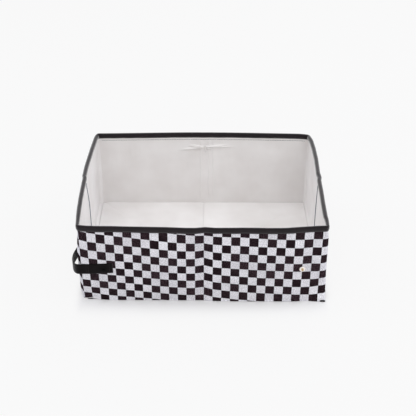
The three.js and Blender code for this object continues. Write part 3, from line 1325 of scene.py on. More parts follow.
@dataclass(frozen=True)
class Stitches:
    """Rows of lockstitches: short raised loops of thread."""

    spacing: float = 3.2 * MM
    length: float = 2.3 * MM
    radius: float = 0.26 * MM

    def centres(self, start: float, end: float) -> Array:
        """Middles of the stitches between two distances.

        Args:
            start: Where the row starts.
            end: Where it ends.

        Returns:
            The middles.
        """
        count = max(1, int((end - start) / self.spacing))
        margin = (end - start - (count - 1) * self.spacing) / 2
        return start + margin + np.arange(count) * self.spacing

    def rings(self) -> tuple[Array, Array, Array]:
        """One stitch as distances along, aside and out of its row.

        Returns:
            The three distances of each point.
        """
        lengthwise = np.array([-0.5, -0.4, -0.15, 0.15, 0.4, 0.5]) * self.length
        swell = np.array([0.15, 0.8, 1.0, 1.0, 0.8, 0.15]) * self.radius
        round_it = np.linspace(0.0, 2 * math.pi, 6, endpoint=False)
        along = np.repeat(lengthwise[:, None], len(round_it), 1)
        return along, swell[:, None] * np.cos(round_it), swell[:, None] * np.sin(round_it)


@dataclass
class StretchPieces:
    """The cloth of one stretch of the walls, with what is sewn to each layer."""

    canvas: Piece
    lining: Piece
    on_canvas: list[Piece] = field(default_factory=list)
    on_lining: list[Piece] = field(default_factory=list)


@dataclass(frozen=True)
class WallStretch:
    """A stretch of the walls with all its layers, which moves as one with a body or lies between two
    bodies.
    """

    name: str
    start: float
    end: float
    motion: Motion
    form: WallForm
    relief: LiningRelief
    tape: RimTape
    finishes: Finishes
    nodes: str = ""
    # Distances between the points of the tape and hem, and of the canvas
    step: float = 2.5 * MM
    canvas_step: float = 2.5 * MM
    # How far the canvas ends below the rim, and the radius of the hem at the bottom
    stand: float = 6.0 * MM
    roll: float = 1.0 * MM
    board_from: float = 0.0
    board_to: float = 0.0
    snap_at: float | None = None
    hem_stitches: bool = False
    sewn_crease: bool = False
    # Angle that the stretch turns through
    turn: float = 0.0

    def standing(self, kind: str) -> list[str]:
        """Names of the nodes of one kind that this stretch stands for."""
        return [f"{kind}_{self.nodes}"] if self.nodes else []

    def canvas(self) -> Piece:
        """Make the checked canvas.

        Returns:
            The piece.
        """
        sizes = self.form.sizes
        run = spread(self.start, self.end, min(self.canvas_step, self.step))
        along, height = np.meshgrid(run, spread(0.0, sizes.height - self.stand, self.canvas_step))
        draft = MeshDraft()
        outer = self.form.place(along, height, 0.0)
        inner = self.form.place(along, height, sizes.canvas)
        draft.slab(outer, inner, np.stack([along, height], -1), self.form.checks(along, height))
        piece = draft.make(f"canvas_wall_{self.name}", self.finishes.canvas)
        return settle(piece, self.motion, self.standing("canvas"))

    def lining(self) -> Piece:
        """Make the lining with its puckers.

        Returns:
            The piece.
        """
        sizes = self.form.sizes
        step = (1.0 if self.name.startswith("back_") else 1.7) * MM
        run = spread(self.start, self.end, min(step, self.step))
        # The hem's edge needs rows that lie closer together
        hem = sizes.height - 12.0 * MM
        below = spread(0.0, hem, step)[:-1]
        above = spread(hem, sizes.height - 0.5 * self.stand, 0.5 * MM)
        along, height = np.meshgrid(run, np.concatenate([below, above]))
        draft = MeshDraft()
        relief = self.relief.height_in(along, height)
        back = self.form.place(along, height, sizes.canvas + sizes.board + relief)
        face = self.form.place(along, height, sizes.panel + relief)
        draft.slab(back, face, np.stack([along, height], -1))
        piece = draft.make(f"lining_wall_{self.name}", self.finishes.lining)
        return settle(piece, self.motion, self.standing("liner"))

    def board(self) -> Piece:
        """Make the stiffening board, with rounded corners and a pocket for the snap's cap.

        Returns:
            The piece.
        """
        sizes = self.form.sizes
        inset, rounding, play, pocket_radius = 1.0 * MM, 4.0 * MM, 0.03 * MM, 9.0 * MM
        low, high = inset, sizes.height - inset
        run = spread(self.board_from, self.board_to, 4.0 * MM)
        along, height = np.meshgrid(run, spread(low, high, 4.0 * MM))
        core_along = np.clip(along, self.board_from + rounding, self.board_to - rounding)
        core_height = np.clip(height, low + rounding, high - rounding)
        out_along, out_height = along - core_along, height - core_height
        reach = np.hypot(out_along, out_height)
        share = np.maximum(np.abs(out_along), np.abs(out_height)) / np.maximum(reach, 1e-9)
        along, height = core_along + out_along * share, core_height + out_height * share
        pocket = np.zeros_like(along)
        if self.snap_at is not None:
            snap_low, snap_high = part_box("snap_stud_cap")
            away = np.hypot(along - self.snap_at, height - (snap_low.z + snap_high.z) / 2)
            pocket = np.where(away < pocket_radius, snap_high.y - snap_low.y + play, 0.0)
        outer = self.form.place(along, height, sizes.canvas + play + pocket)
        inner = self.form.place(along, height, sizes.canvas + sizes.board - play)
        draft = MeshDraft()
        draft.slab(outer, inner, np.stack([along, height], -1))
        piece = draft.make(f"board_wall_{self.name}", self.finishes.board)
        return settle(piece, self.motion, self.standing("board"))

    def binding(self) -> Piece:
        """Make the binding tape over the rim.

        Returns:
            The piece.
        """
        rings, cloth = self.tape.rings(spread(self.start, self.end, self.step))
        draft = MeshDraft()
        draft.sweep(rings, cloth)
        piece = draft.make(f"binding_{self.name}", self.finishes.binding, 60.0)
        return settle(piece, self.motion, self.standing("rim_binding"))

    def seam(self) -> Piece:
        """Make the rows of stitches through the binding.

        Returns:
            The piece.
        """
        stitches = Stitches()
        lengthwise, aside, out = stitches.rings()
        draft = MeshDraft()
        for centre in stitches.centres(self.start, self.end):
            for inward, height in self.tape.stitch_lines(centre):
                along = centre + lengthwise
                points = self.form.place(along, height + aside, inward + out)
                draft.sweep(points, np.stack([along, aside], -1))
        piece = draft.make(f"binding_seam_{self.name}", self.finishes.thread)
        return settle(piece, self.motion)

    def hem_seam(self) -> Piece:
        """Make the stitches along the lower edge of the lining's hem; their grey, darker than the lining,
        also paints the shade line under the hem's edge.

        Returns:
            The piece.
        """
        stitches = Stitches(length=2.7 * MM, radius=0.42 * MM)
        lengthwise, aside, out = stitches.rings()
        level = self.form.sizes.height - self.relief.hem_height - 0.4 * MM
        draft = MeshDraft()
        for centre in stitches.centres(self.start, self.end):
            along = centre + lengthwise
            height = level + aside
            inward = self.form.sizes.panel + self.relief.height_in(along, height) + out
            draft.sweep(self.form.place(along, height, inward), np.stack([along, aside], -1))
        piece = draft.make(f"hem_stitches_and_painted_shade_line_{self.name}", self.finishes.shade_line_and_seam_thread)
        return settle(piece, self.motion)

    def crease_seam(self) -> Piece:
        """Make the seam that holds the lining down along a side crease; its grey, darker than the lining,
        also paints the shade line in the crease.

        Returns:
            The piece.
        """
        middle = (self.start + self.end) / 2
        turn = np.linspace(0.0, 2 * math.pi, 8, endpoint=False)
        low, high, radius = 4.0 * MM, 140.0 * MM, 0.6 * MM
        height, angle = np.meshgrid(spread(low, high, 1.5 * MM), turn, indexing="ij")
        along = middle + radius * np.cos(angle)
        beside = self.relief.height_in(along * 0.0 + middle + 4.0 * MM, height)
        inward = self.form.sizes.panel + np.maximum(beside, 0.0) + 0.5 * MM + radius * np.sin(angle)
        draft = MeshDraft()
        draft.sweep(self.form.place(along, height, inward), np.stack([height, angle * radius], -1))
        piece = draft.make(f"crease_seam_and_painted_shade_line_{self.name}", self.finishes.shade_line_and_seam_thread)
        return settle(piece, self.motion)

    def bottom_hem(self) -> Piece:
        """Make the rolled hem of the canvas along the bottom edge.

        Returns:
            The piece.
        """
        along = spread(self.start, self.end, self.step)
        turn = np.linspace(0.0, 2 * math.pi, 10, endpoint=False)
        run, angle = np.meshgrid(along, turn, indexing="ij")
        radius = self.roll * (1.0 + 0.06 * soft_noise(run, angle * MM, 5.0 * MM, 31))
        height = self.roll * 1.08 + radius * np.sin(angle)
        points = self.form.place(run, height, radius * np.cos(angle))
        draft = MeshDraft()
        draft.sweep(points, np.stack([run, angle * self.roll], -1), self.form.checks(run, height))
        piece = draft.make(f"bottom_hem_{self.name}", self.finishes.canvas)
        return settle(piece, self.motion)

    @property
    def narrow(self) -> bool:
        """Whether the stretch is too narrow to count as a sheet of its own."""
        return self.end - self.start < 10.0 * MM

    def build(self, strips: Sequence[StretchPieces] = ()) -> StretchPieces:
        """Make every layer of the stretch.

        Args:
            strips: Narrow stretches beside this one, whose cloth is one with it.

        Returns:
            The pieces of cloth.
        """
        made = StretchPieces(self.canvas(), self.lining())
        if self.board_to > self.board_from:
            self.board()
        made.on_canvas += [self.binding(), self.seam(), self.bottom_hem()]
        if self.hem_stitches:
            made.on_lining.append(self.hem_seam())
        if self.sewn_crease:
            made.on_lining.append(self.crease_seam())
        for strip in strips:
            made.on_canvas += [strip.canvas, *strip.on_canvas]
            made.on_lining += [strip.lining, *strip.on_lining]
        if not self.narrow:
            self.declare(made)
        return made

    def declare(self, made: StretchPieces) -> None:
        """Args:
            made: The stretch's pieces of cloth; not used.
        """


@dataclass(frozen=True)
class Walls:
    """The four walls: eight boarded panels, the creases and corners between them, and the back band."""

    form: WallForm
    finishes: Finishes
    # Reach of the bending cloth on both sides of a corner, a crease and the back band's middle
    corner_zone: float = 8.0 * MM
    crease_zone: float = 3.0 * MM
    back_band: float = 25.0 * MM
    # How far the boards stop from the front crease, the side creases and the corners
    front_band: float = 20.0 * MM
    side_board_gap: float = 4.0 * MM
    corner_board_gap: float = 5.5 * MM
    # Share of each wall's bulge that is left when the box is folded
    front_keep: float = 0.4
    side_keep: float = 0.3
    left_keep: float = 0.14
    # How much shorter the tape's outer leg is than the solid band that it stands for
    tape_saved: float = 3.8 * MM

    def point(self, along: float) -> Point:
        """Point on the outer face, at the bottom."""
        plan, _ = self.form.ring(np.array([along]))
        return (float(plan[0, 0]), float(plan[0, 1]), 0.0)

    def flatten(self, wall: Wall) -> Flatten | None:
        """How a panel of a wall would flatten when the box is folded.

        Args:
            wall: The wall.

        Returns:
            How it flattens, or None where it doesn't.
        """
        sizes = self.form.sizes
        if wall is Wall.BACK:
            return None
        if wall is Wall.FRONT:
            return Flatten((0.0, 1.0, 0.0), (0.0, (sizes.panel - sizes.depth) / 2, 0.0), self.front_keep)
        side = 1.0 if wall is Wall.RIGHT else -1.0
        keep = self.side_keep if wall is Wall.RIGHT else self.left_keep
        return Flatten((1.0, 0.0, 0.0), (side * sizes.width / 2, 0.0, 0.0), keep)

    def stretch(self, name: str, start: float, end: float, motion: Motion, **extra: object) -> WallStretch:
        """A stretch of wall with the shared form and finishes.

        Args:
            name: Its name.
            start: Distance round the walls where it starts.
            end: Where it ends.
            motion: What it moves with.
            **extra: Its other fields.

        Returns:
            The stretch.
        """
        relief = LiningRelief(self.form)
        tape = RimTape(self.form, self.form.sizes.binding_leg - self.tape_saved)
        return WallStretch(name, start, end, motion, self.form, relief, tape, self.finishes, **extra)

    def panels(self) -> list[WallStretch]:
        """The eight boarded panels.

        Returns:
            The stretches.
        """
        sizes = self.form.sizes
        half_width, half_depth = sizes.width / 2, sizes.depth / 2
        right, back = half_width + half_depth, sizes.width + sizes.depth
        snap_low, snap_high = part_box("snap_stud")
        snap = (snap_low.x + snap_high.x) / 2
        crease, corner = self.crease_zone, self.corner_zone
        gap, end_gap = self.side_board_gap, self.corner_board_gap
        band = self.back_band
        plan = [
            ("front_left", Wall.FRONT, -half_width, 0.0, corner, crease, end_gap, self.front_band),
            ("front_right", Wall.FRONT, 0.0, half_width, crease, corner, self.front_band, end_gap),
            ("right_front", Wall.RIGHT, right - half_depth, right, corner, crease, end_gap, gap),
            ("right_back", Wall.RIGHT, right, right + half_depth, crease, corner, gap, end_gap),
            ("back_right", Wall.BACK, back - half_width, back, corner, band, end_gap, band),
            ("back_left", Wall.BACK, back, back + half_width, band, corner, band, end_gap),
            ("left_back", Wall.LEFT, -right - half_depth, -right, corner, crease, end_gap, gap),
            ("left_front", Wall.LEFT, -right, -right + half_depth, crease, corner, gap, end_gap),
        ]
        snaps = {"front_left": -snap, "front_right": snap}
        return [
            self.stretch(
                name,
                low + cut_low,
                high - cut_high,
                Motion(name, self.flatten(wall)),
                nodes=name,
                board_from=low + board_low,
                board_to=high - board_high,
                snap_at=snaps.get(name),
                hem_stitches=wall is Wall.BACK,
            )
            for name, wall, low, high, cut_low, cut_high, board_low, board_high in plan
        ]

    def folds(self) -> list[WallStretch]:
        """The stretches of cloth that bend at the creases and corners.

        Returns:
            The stretches.
        """
        sizes = self.form.sizes
        half_width, half_depth = sizes.width / 2, sizes.depth / 2
        right, back = half_width + half_depth, sizes.width + sizes.depth
        plan = [
            ("front_crease", 0.0, self.crease_zone, "front_left", "front_right", ""),
            ("front_right_corner", half_width, self.corner_zone, "front_right", "right_front", ""),
            ("right_crease", right, self.crease_zone, "right_front", "right_back", ""),
            ("back_right_corner", right + half_depth, self.corner_zone, "right_back", "back_right", ""),
            ("back_band", back, self.back_band, "back_right", "back_crease", "back_crease"),
            ("back_left_corner", back + half_width, self.corner_zone, "back_left", "left_back", ""),
            ("left_crease", -right, self.crease_zone, "left_back", "left_front", ""),
            ("front_left_corner", -half_width, self.corner_zone, "left_front", "front_left", ""),
        ]
        stretches = []
        for name, middle, reach, before, after, nodes in plan:
            low, high = middle - reach, middle + reach
            motion = Motion(before, other=after, start=self.point(low), end=self.point(high))
            step = min(1.0 * MM, reach / 4) if reach < 10.0 * MM else 2.0 * MM
            sewn = name in ("right_crease", "left_crease")
            turn = math.pi / 2 if reach == self.corner_zone else 0.0
            hem = name == "back_band"
            extra = {"nodes": nodes, "step": step, "hem_stitches": hem, "sewn_crease": sewn, "turn": turn}
            stretches.append(self.stretch(name, low, high, motion, **extra))
        return stretches

    def build(self) -> None:
        """Make all the walls."""
        strips: dict[str, list[StretchPieces]] = {}
        for stretch in self.folds():
            made = stretch.build()
            if stretch.narrow:
                strips.setdefault(stretch.motion.body, []).append(made)
        for stretch in self.panels():
            stretch.build(strips.get(stretch.name, []))


# Floor


@dataclass(frozen=True)
class Floor:
    """The folding floor: four boarded quarters, soft gores at the ends, and the crease between them."""

    sizes: BoxSizes
    finishes: Finishes
    end_margin: float = 6.0 * MM
    seam_gap: float = 0.3 * MM
    # Reach of the bending cloth on both sides of the middle, and the fall from a board to soft cloth
    ridge: float = 6.0 * MM
    soft_fall: float = 5.0 * MM
    # How far the boards stop inside their pockets' slanted and outer edges, and from the centre line
    board_inset: float = 3.0 * MM
    centre_inset: float = 4.0 * MM
    # Height of the wrinkles, and how far the lining rises at the walls
    wrinkle: float = 0.35 * MM
    edge_rise: float = 0.8 * MM

    @property
    def inner_width(self) -> float:
        """Half the width inside the walls."""
        return self.sizes.width / 2 - self.sizes.panel

    @property
    def inner_depth(self) -> float:
        """Half the depth inside the walls."""
        return self.sizes.depth / 2 - self.sizes.panel

    def slant(self, from_wall: Array) -> Array:
        """Distance of a quarter's slanted end from the centre line, by distance from the end wall."""
        return self.sizes.width / 2 - self.end_margin - from_wall

    def top(self, x: Array, y: Array) -> Array:
        """Height of the lining at places of the floor.

        Args:
            x: Distances to the right.
            y: Distances to the back.

        Returns:
            The heights.
        """
        away_x, away_y = np.abs(x), np.abs(y)
        soft = (self.sizes.canvas + self.sizes.lining) * 1.1
        inside_end = self.slant(self.inner_depth - away_y) - away_x
        boarded = smooth(0.0, self.soft_fall, inside_end)
        boarded = boarded * smooth(0.6 * MM, self.soft_fall, away_x)
        boarded = boarded * smooth(1.0 * MM, self.soft_fall + 1.0 * MM, away_y)
        pucker = self.wrinkle * np.clip(soft_noise(x, y, 24.0 * MM, 41) + 0.2, 0.0, 1.0)
        pucker = pucker + 0.3 * self.wrinkle * soft_noise(x, y, 9.0 * MM, 43)
        loose = np.clip(soft_noise(x + y, x - y, 13.0 * MM, 47), 0.0, 1.0) * (1.0 - boarded)
        loose = self.wrinkle * 1.6 * loose
        to_wall = np.minimum(self.inner_width - away_x, self.inner_depth - away_y)
        rise = self.edge_rise * (1.0 - smooth(0.0, 6.0 * MM, to_wall))
        spread_out = smooth(0.0, 8.0 * MM, to_wall)
        return soft + (self.sizes.panel - soft) * boarded + (pucker + loose) * spread_out + rise

    def sheet_between(self, inner: Array, outer: Array, rows: Array, step: float) -> tuple[Array, Array]:
        """Grid between two edges.

        Args:
            inner: Distance of the near edge from the centre line, for each row.
            outer: The same for the far edge.
            rows: Distance of each row from the ridge.
            step: About how far apart the columns are.

        Returns:
            The grids of both distances.
        """
        share = spread(0.0, 1.0, step / float(np.max(outer - inner)))
        across = inner[:, None] + (outer - inner)[:, None] * share[None, :]
        return across, np.broadcast_to(rows[:, None], across.shape)

    def layer(
        self,
        name: str,
        x: Array,
        y: Array,
        low: Array | float,
        high: Array | float,
        finish: Material,
    ) -> Piece:
        """Make one layer between two heights.

        Args:
            name: The piece's name.
            x: Grid of distances to the right.
            y: Grid of distances to the back.
            low: Height of the underside.
            high: Height of the upper face.
            finish: Its material.

        Returns:
            The piece.
        """
        places = np.stack([x, y], -1)
        bottom = np.concatenate([places, np.broadcast_to(low, x.shape)[..., None]], -1)
        upper = np.concatenate([places, np.broadcast_to(high, x.shape)[..., None]], -1)
        draft = MeshDraft()
        draft.slab(upper, bottom, places)
        return draft.make(name, finish)

    def quarter(self, name: str, side: float, end: float) -> None:
        """Make one quarter of the floor.

        Args:
            name: The quarter's name.
            side: 1 on the right and -1 on the left.
            end: 1 at the back and -1 at the front.
        """
        sizes = self.sizes
        body = Motion(f"floor_{name}")
        edge = self.inner_depth - self.seam_gap
        rows = spread(self.ridge, edge, 3.0 * MM)
        near = np.full_like(rows, self.seam_gap / 2)
        far = self.slant(self.inner_depth - rows)
        x, y = self.sheet_between(near, far, rows, 3.0 * MM)
        x, y = side * x, end * y
        top = self.top(x, y)
        lining = self.layer(f"floor_lining_{name}", x, y, top - sizes.lining, top, self.finishes.lining)
        settle(lining, body, [f"floor_liner_{name}"])
        under = self.layer(f"floor_base_cloth_{name}", x, y, 0.0, sizes.canvas, self.finishes.base_cloth)
        settle(under, body, [f"floor_canvas_{name}"])
        for cloth in (lining, under):
            self.declare(cloth, far - near, rows, [f"floor_panel_{name}"])
        end_rows = spread(0.02 * MM, edge, 3.0 * MM)
        end_near = self.slant(self.inner_depth - end_rows)
        end_x = np.full_like(end_rows, self.inner_width - self.seam_gap)
        x, y = self.sheet_between(end_near, end_x, end_rows, 3.0 * MM)
        x, y = side * x, end * y
        gore = self.layer(f"end_fold_{name}", x, y, 0.0, self.top(x, y), self.finishes.lining)
        settle(gore, body, [f"end_gore_{name}"])
        self.declare(gore, end_x - end_near, end_rows)
        board_rows = spread(self.ridge, edge - self.board_inset, 6.0 * MM)
        near = np.full_like(board_rows, self.centre_inset)
        far = self.slant(self.inner_depth - board_rows) - self.board_inset * math.sqrt(2.0)
        x, y = self.sheet_between(near, far, board_rows, 6.0 * MM)
        low = sizes.canvas + 0.02 * MM
        high = sizes.canvas + sizes.board - 0.1 * MM
        board = self.layer(f"floor_panel_{name}", side * x, end * y, low, high, self.finishes.board)
        settle(board, body, [f"floor_board_{name}"])

    def crease(self, name: str, side: float) -> None:
        """Make the cloth that bends between the front and back quarters of one side.

        Args:
            name: The side's name.
            side: 1 on the right and -1 on the left.
        """
        reach = self.ridge
        rows = spread(-reach, reach, 1.0 * MM)
        near = np.full_like(rows, self.seam_gap / 2)
        far = self.slant(self.inner_depth - np.abs(rows))
        x, y = self.sheet_between(near, far, rows, 3.0 * MM)
        x = side * x
        cloth = self.layer(f"floor_crease_cloth_{name}", x, y, 0.0, self.top(x, y), self.finishes.lining)
        front, back = f"floor_front_{name}", f"floor_back_{name}"
        motion = Motion(front, other=back, start=(0.0, -reach, 0.0), end=(0.0, reach, 0.0))
        settle(cloth, motion)
        self.declare(cloth, far - near, rows)

    def declare(self, cloth: Piece, widths: Array, rows: Array, rests_on: Sequence[str] = ()) -> None:
        """Take one cloth of the floor and do nothing with it.

        Args:
            cloth: The piece; not used.
            widths: Its width at each row; not used.
            rows: Distances of the rows from the ridge; not used.
            rests_on: Names of what it lies on; not used.
        """

    def build(self) -> None:
        """Make the whole floor."""
        for side_name, side in (("right", 1.0), ("left", -1.0)):
            for end_name, end in (("front", -1.0), ("back", 1.0)):
                self.quarter(f"{end_name}_{side_name}", side, end)
            self.crease(side_name, side)


# Handle, snap and small parts


def through_points(points: Array, step: float) -> Array:
    """Smooth line through points, cut into even steps.

    Args:
        points: The points, one per row.
        step: About how far apart the new points are.

    Returns:
        The new points.
    """
    padded = np.vstack([2 * points[0] - points[1], points, 2 * points[-1] - points[-2]])
    share = np.linspace(0.0, 1.0, 24, endpoint=False)[:, None]
    parts = []
    for before, first, second, after in zip(padded, padded[1:], padded[2:], padded[3:]):
        bend = 2 * before - 5 * first + 4 * second - after
        twist = 3 * first - before - 3 * second + after
        parts.append(first + 0.5 * ((second - before) * share + bend * share**2 + twist * share**3))
    line = np.vstack([*parts, points[-1:]])
    run = run_along(line)
    places = spread(0.0, float(run[-1]), step)
    return np.column_stack([np.interp(places, run, line[:, axis]) for axis in range(line.shape[1])])


def lay_stitch(draft: MeshDraft, centre: Array, along: Array, out: Array) -> None:
    """Add one stitch to a draft.

    Args:
        draft: The draft of the stitches.
        centre: The stitch's middle, on the surface.
        along: Direction of the thread.
        out: Direction away from the surface.
    """
    lengthwise, aside, outward = Stitches().rings()
    across = np.cross(along, out)
    points = centre + lengthwise[..., None] * along + aside[..., None] * across + outward[..., None] * out
    draft.sweep(points, np.stack([lengthwise, aside], -1))


def turned(name: str, profile: Table, centre: Point, facing: Point, material: Material) -> Piece:
    """Make a turned piece.

    Args:
        name: The piece's name.
        profile: Radius and distance out, in millimetres, from the base to the tip.
        centre: Middle of the base.
        facing: Direction that the piece points in.
        material: Its finish.

    Returns:
        The piece.
    """
    axis = Vector(facing).normalized()
    aside = axis.orthogonal().normalized()
    third = axis.cross(aside)
    angles = np.linspace(0.0, 2 * math.pi, 40, endpoint=False)
    wheel = np.cos(angles)[:, None] * np.array(aside) + np.sin(angles)[:, None] * np.array(third)
    base = np.array(centre)
    rings = np.stack([base + np.array(axis) * out * MM + wheel * radius * MM for radius, out in profile])
    run = np.repeat(np.array([out * MM for _, out in profile])[:, None], len(angles), 1)
    draft = MeshDraft()
    draft.sweep(rings, np.stack([run, np.broadcast_to(angles * MM, run.shape)], -1))
    return draft.make(name, material, 38.0)


@dataclass(frozen=True)
class Handle:
    """Webbing that lies flat on the front, loops round the corner and is sewn to the left wall."""

    form: WallForm
    finishes: Finishes
    thickness: float = 1.4 * MM
    # Gap to the canvas, where the webbing leaves the front before the corner, and how much it slants
    lift: float = 0.08 * MM
    lift_off: float = 6.0 * MM
    rise: float = 2.7 * MM
    step: float = 1.4 * MM
    # Places round the loop, as shares of its bulge and of the way back along the side
    loop_shares: Table = ((0.52, 0.01), (1.05, 0.17), (1.1, 0.45), (0.62, 0.8))

    def centre_line(self) -> tuple[Array, Array]:
        """Middle of the webbing, as points in space, and the directions that it faces in.

        Returns:
            The points and the directions.
        """
        sizes = self.form.sizes
        low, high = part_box("handle_strap")
        tab_low, tab_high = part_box("handle_side_tab")
        level = (low.z + high.z) / 2
        out = self.thickness / 2 + self.lift
        half_width, half_depth = sizes.width / 2, sizes.depth / 2
        flat_x = spread(high.x, -half_width + self.lift_off, 9.0 * MM)
        front = self.form.place(flat_x, level, -out)[:, :2]
        bulge = -half_width - low.x - self.thickness / 2
        back_reach = tab_high.y + half_depth
        start_x, start_y = -half_width, -half_depth - out
        loop = [(start_x - bulge * far, start_y + back_reach * back) for far, back in self.loop_shares]
        side_y = spread(tab_low.y - 1.0 * MM, tab_high.y, 9.0 * MM)
        side = self.form.place(-half_width - (side_y + half_depth), level, -out)[:, :2]
        line = through_points(np.vstack([front, np.array(loop), side]), self.step)
        ahead = np.gradient(line, axis=0)
        ahead = ahead / np.linalg.norm(ahead, axis=1)[:, None]
        facing = np.column_stack([ahead[:, 1], -ahead[:, 0]])
        outward = np.sign(facing[0] @ np.array([0.0, -1.0]))
        facing = facing * outward
        run = run_along(line)
        front_length = high.x + half_width
        share = run / front_length
        tilt = self.rise * (0.5 - np.clip(share, 0.0, 1.0)) * (1.0 - smooth(1.2, 2.2, share))
        spots = np.column_stack([line, level + tilt])
        return spots, np.column_stack([facing, np.zeros(len(facing))])

    def strap(self) -> Piece:
        """Make the webbing.

        Returns:
            The piece.
        """
        low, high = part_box("handle_strap")
        half = (high.z - low.z) / 2
        spots, facing = self.centre_line()
        across = half * np.array([-1.0, -0.985, -0.95, -0.85, -0.5, 0.0, 0.5, 0.85, 0.95, 0.985, 1.0])
        thick = self.thickness / 2 * np.sqrt(np.clip(1.0 - (np.abs(across) / half) ** 14, 0.02, 1.0))
        ring_across = np.concatenate([across, across[::-1]])
        ring_out = np.concatenate([thick, -thick[::-1]])
        up = np.array([0.0, 0.0, 1.0])
        rings = spots[:, None, :] + ring_across[None, :, None] * up
        rings = rings + ring_out[None, :, None] * facing[:, None, :]
        run = run_along(spots)
        cloth = np.stack(np.broadcast_arrays(run[:, None], ring_across[None, :]), -1)
        draft = MeshDraft()
        draft.sweep(rings, cloth)
        piece = draft.make("handle_webbing", self.finishes.webbing, 60.0)
        return settle(piece, self.motion(), ["handle_strap", "handle_side_tab"])

    def motion(self) -> Motion:
        """The bodies that the webbing lies between: the front and the side.

        Returns:
            The motion.
        """
        sizes = self.form.sizes
        tab_low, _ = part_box("handle_side_tab")
        start = (-sizes.width / 2 + 0.5 * self.lift_off, -sizes.depth / 2, 0.0)
        end = (-sizes.width / 2, tab_low.y - 1.0 * MM, 0.0)
        return Motion("front_left", other="left_front", start=start, end=end)

    def stitching(self) -> None:
        """Make the rows of stitches at both ends of the webbing."""
        spots, facing = self.centre_line()
        run = run_along(spots)
        length = float(run[-1])
        up = np.array([0.0, 0.0, 1.0])
        spacing = Stitches().spacing
        levels = np.arange(-2.5, 3.0) * spacing
        # Distances of the cross rows from the webbing's front end, at its front and side ends
        ends = {
            "front": ([2.0 * MM, 5.5 * MM, 40.0 * MM, 43.5 * MM], "front_left"),
            "side": ([length - 15.5 * MM, length - 2.0 * MM], "left_front"),
        }
        for end, (places, body) in ends.items():
            draft = MeshDraft()
            for place in places:
                for level in levels:
                    spot, out = self.spot_at(run, spots, facing, place)
                    lay_stitch(draft, spot + up * level + out * self.thickness / 2, up, out)
            if end == "side":
                for place in np.arange(length - 13.0 * MM, length - 3.0 * MM, spacing):
                    for level in (-8.2 * MM, 8.2 * MM):
                        spot, out = self.spot_at(run, spots, facing, place)
                        ahead = np.cross(up, out)
                        lay_stitch(draft, spot + up * level + out * self.thickness / 2, ahead, out)
            piece = draft.make(f"handle_stitches_{end}", self.finishes.thread)
            settle(piece, Motion(body))

    @staticmethod
    def spot_at(run: Array, spots: Array, facing: Array, place: float) -> tuple[Array, Array]:
        """Point of the webbing's middle and the way it faces, at a distance from its front end.

        Args:
            run: Distances along the middle.
            spots: Points of the middle.
            facing: Directions at those points.
            place: Distance from the front end.

        Returns:
            The point and the direction.
        """
        spot = np.array([np.interp(place, run, spots[:, axis]) for axis in range(3)])
        out = np.array([np.interp(place, run, facing[:, axis]) for axis in range(3)])
        return spot, out / np.linalg.norm(out)

    def build(self) -> None:
        """Make the handle."""
        self.strap()
        self.stitching()


@dataclass(frozen=True)
class Snap:
    """Snap fastener: a stud on the front right, and a socket on the webbing's sewn end."""

    form: WallForm
    finishes: Finishes
    webbing: float = 1.4 * MM
    # Profiles from the base to the tip, as radius and distance out in millimetres
    flange: Table = (
        (3.9, -0.15), (4.6, -0.05), (4.9, 0.2), (4.9, 0.6), (4.7, 1.05), (4.3, 1.4),
        (3.7, 1.5), (3.0, 1.25), (2.3, 0.85), (1.9, 0.75),
    )
    post: Table = (
        (1.75, 0.7), (1.6, 0.9), (1.4, 1.3), (1.3, 1.9), (1.4, 2.4), (1.65, 2.8), (1.75, 3.15),
        (1.65, 3.45), (1.35, 3.65), (0.8, 3.75), (0.2, 3.75),
    )
    socket: Table = (
        (4.7, 0.0), (5.0, 0.15), (5.0, 1.1), (4.85, 1.45), (4.5, 1.6), (3.9, 1.55), (3.5, 1.4),
        (3.1, 1.5), (2.7, 1.6), (2.45, 1.45), (2.4, 1.2), (2.4, 0.5), (2.2, 0.32), (0.2, 0.3),
    )

    def base(self, node: str, out: float) -> Point:
        """Middle of a snap part's base on the front wall.

        Args:
            node: The part's node.
            out: Distance out from the canvas.

        Returns:
            The point.
        """
        low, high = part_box(node)
        middle = (low + high) / 2
        spot = self.form.place(middle.x, middle.z, -out)
        return (middle.x, float(spot[1]), middle.z)

    def build(self) -> None:
        """Make both halves and dress their caps."""
        front = (0.0, -1.0, 0.0)
        stud_base = self.base("snap_stud", 0.0)
        flange = turned("snap_stud_flange", self.flange, stud_base, front, self.finishes.pearl)
        settle(flange, Motion("front_right"), ["snap_stud"])
        post = turned("snap_stud_post", self.post, stud_base, front, self.finishes.plated)
        settle(post, Motion("front_right"))
        socket_base = self.base("snap_socket", self.webbing)
        socket = turned("snap_socket_ring", self.socket, socket_base, front, self.finishes.painted)
        settle(socket, Motion("front_left"), ["snap_socket"])
        self.cap("stud", Motion("front_right"), self.finishes.plated)
        self.cap("socket", Motion("front_left"), self.finishes.painted)

    def cap(self, half: str, motion: Motion, finish: Material) -> None:
        """Make the cap that holds one half from behind, between the canvas and the board.

        Args:
            half: Which half, stud or socket.
            motion: What it moves with.
            finish: Its finish.
        """
        node = f"snap_{half}_cap"
        low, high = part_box(node)
        middle = (low + high) / 2
        spot = self.form.place(middle.x, middle.z, low.y + self.form.sizes.depth / 2)
        radius, thick = (high.x - low.x) / 2 / MM, (high.y - low.y) / MM
        profile = ((radius - 0.1, 0.0), (radius, 0.5 * thick), (0.94 * radius, 0.85 * thick))
        profile = (*profile, (0.8 * radius, thick), (0.2, thick))
        piece = turned(f"snap_{half}_back_plate", profile, tuple(spot), (0.0, 1.0, 0.0), finish)
        settle(piece, motion, [node])


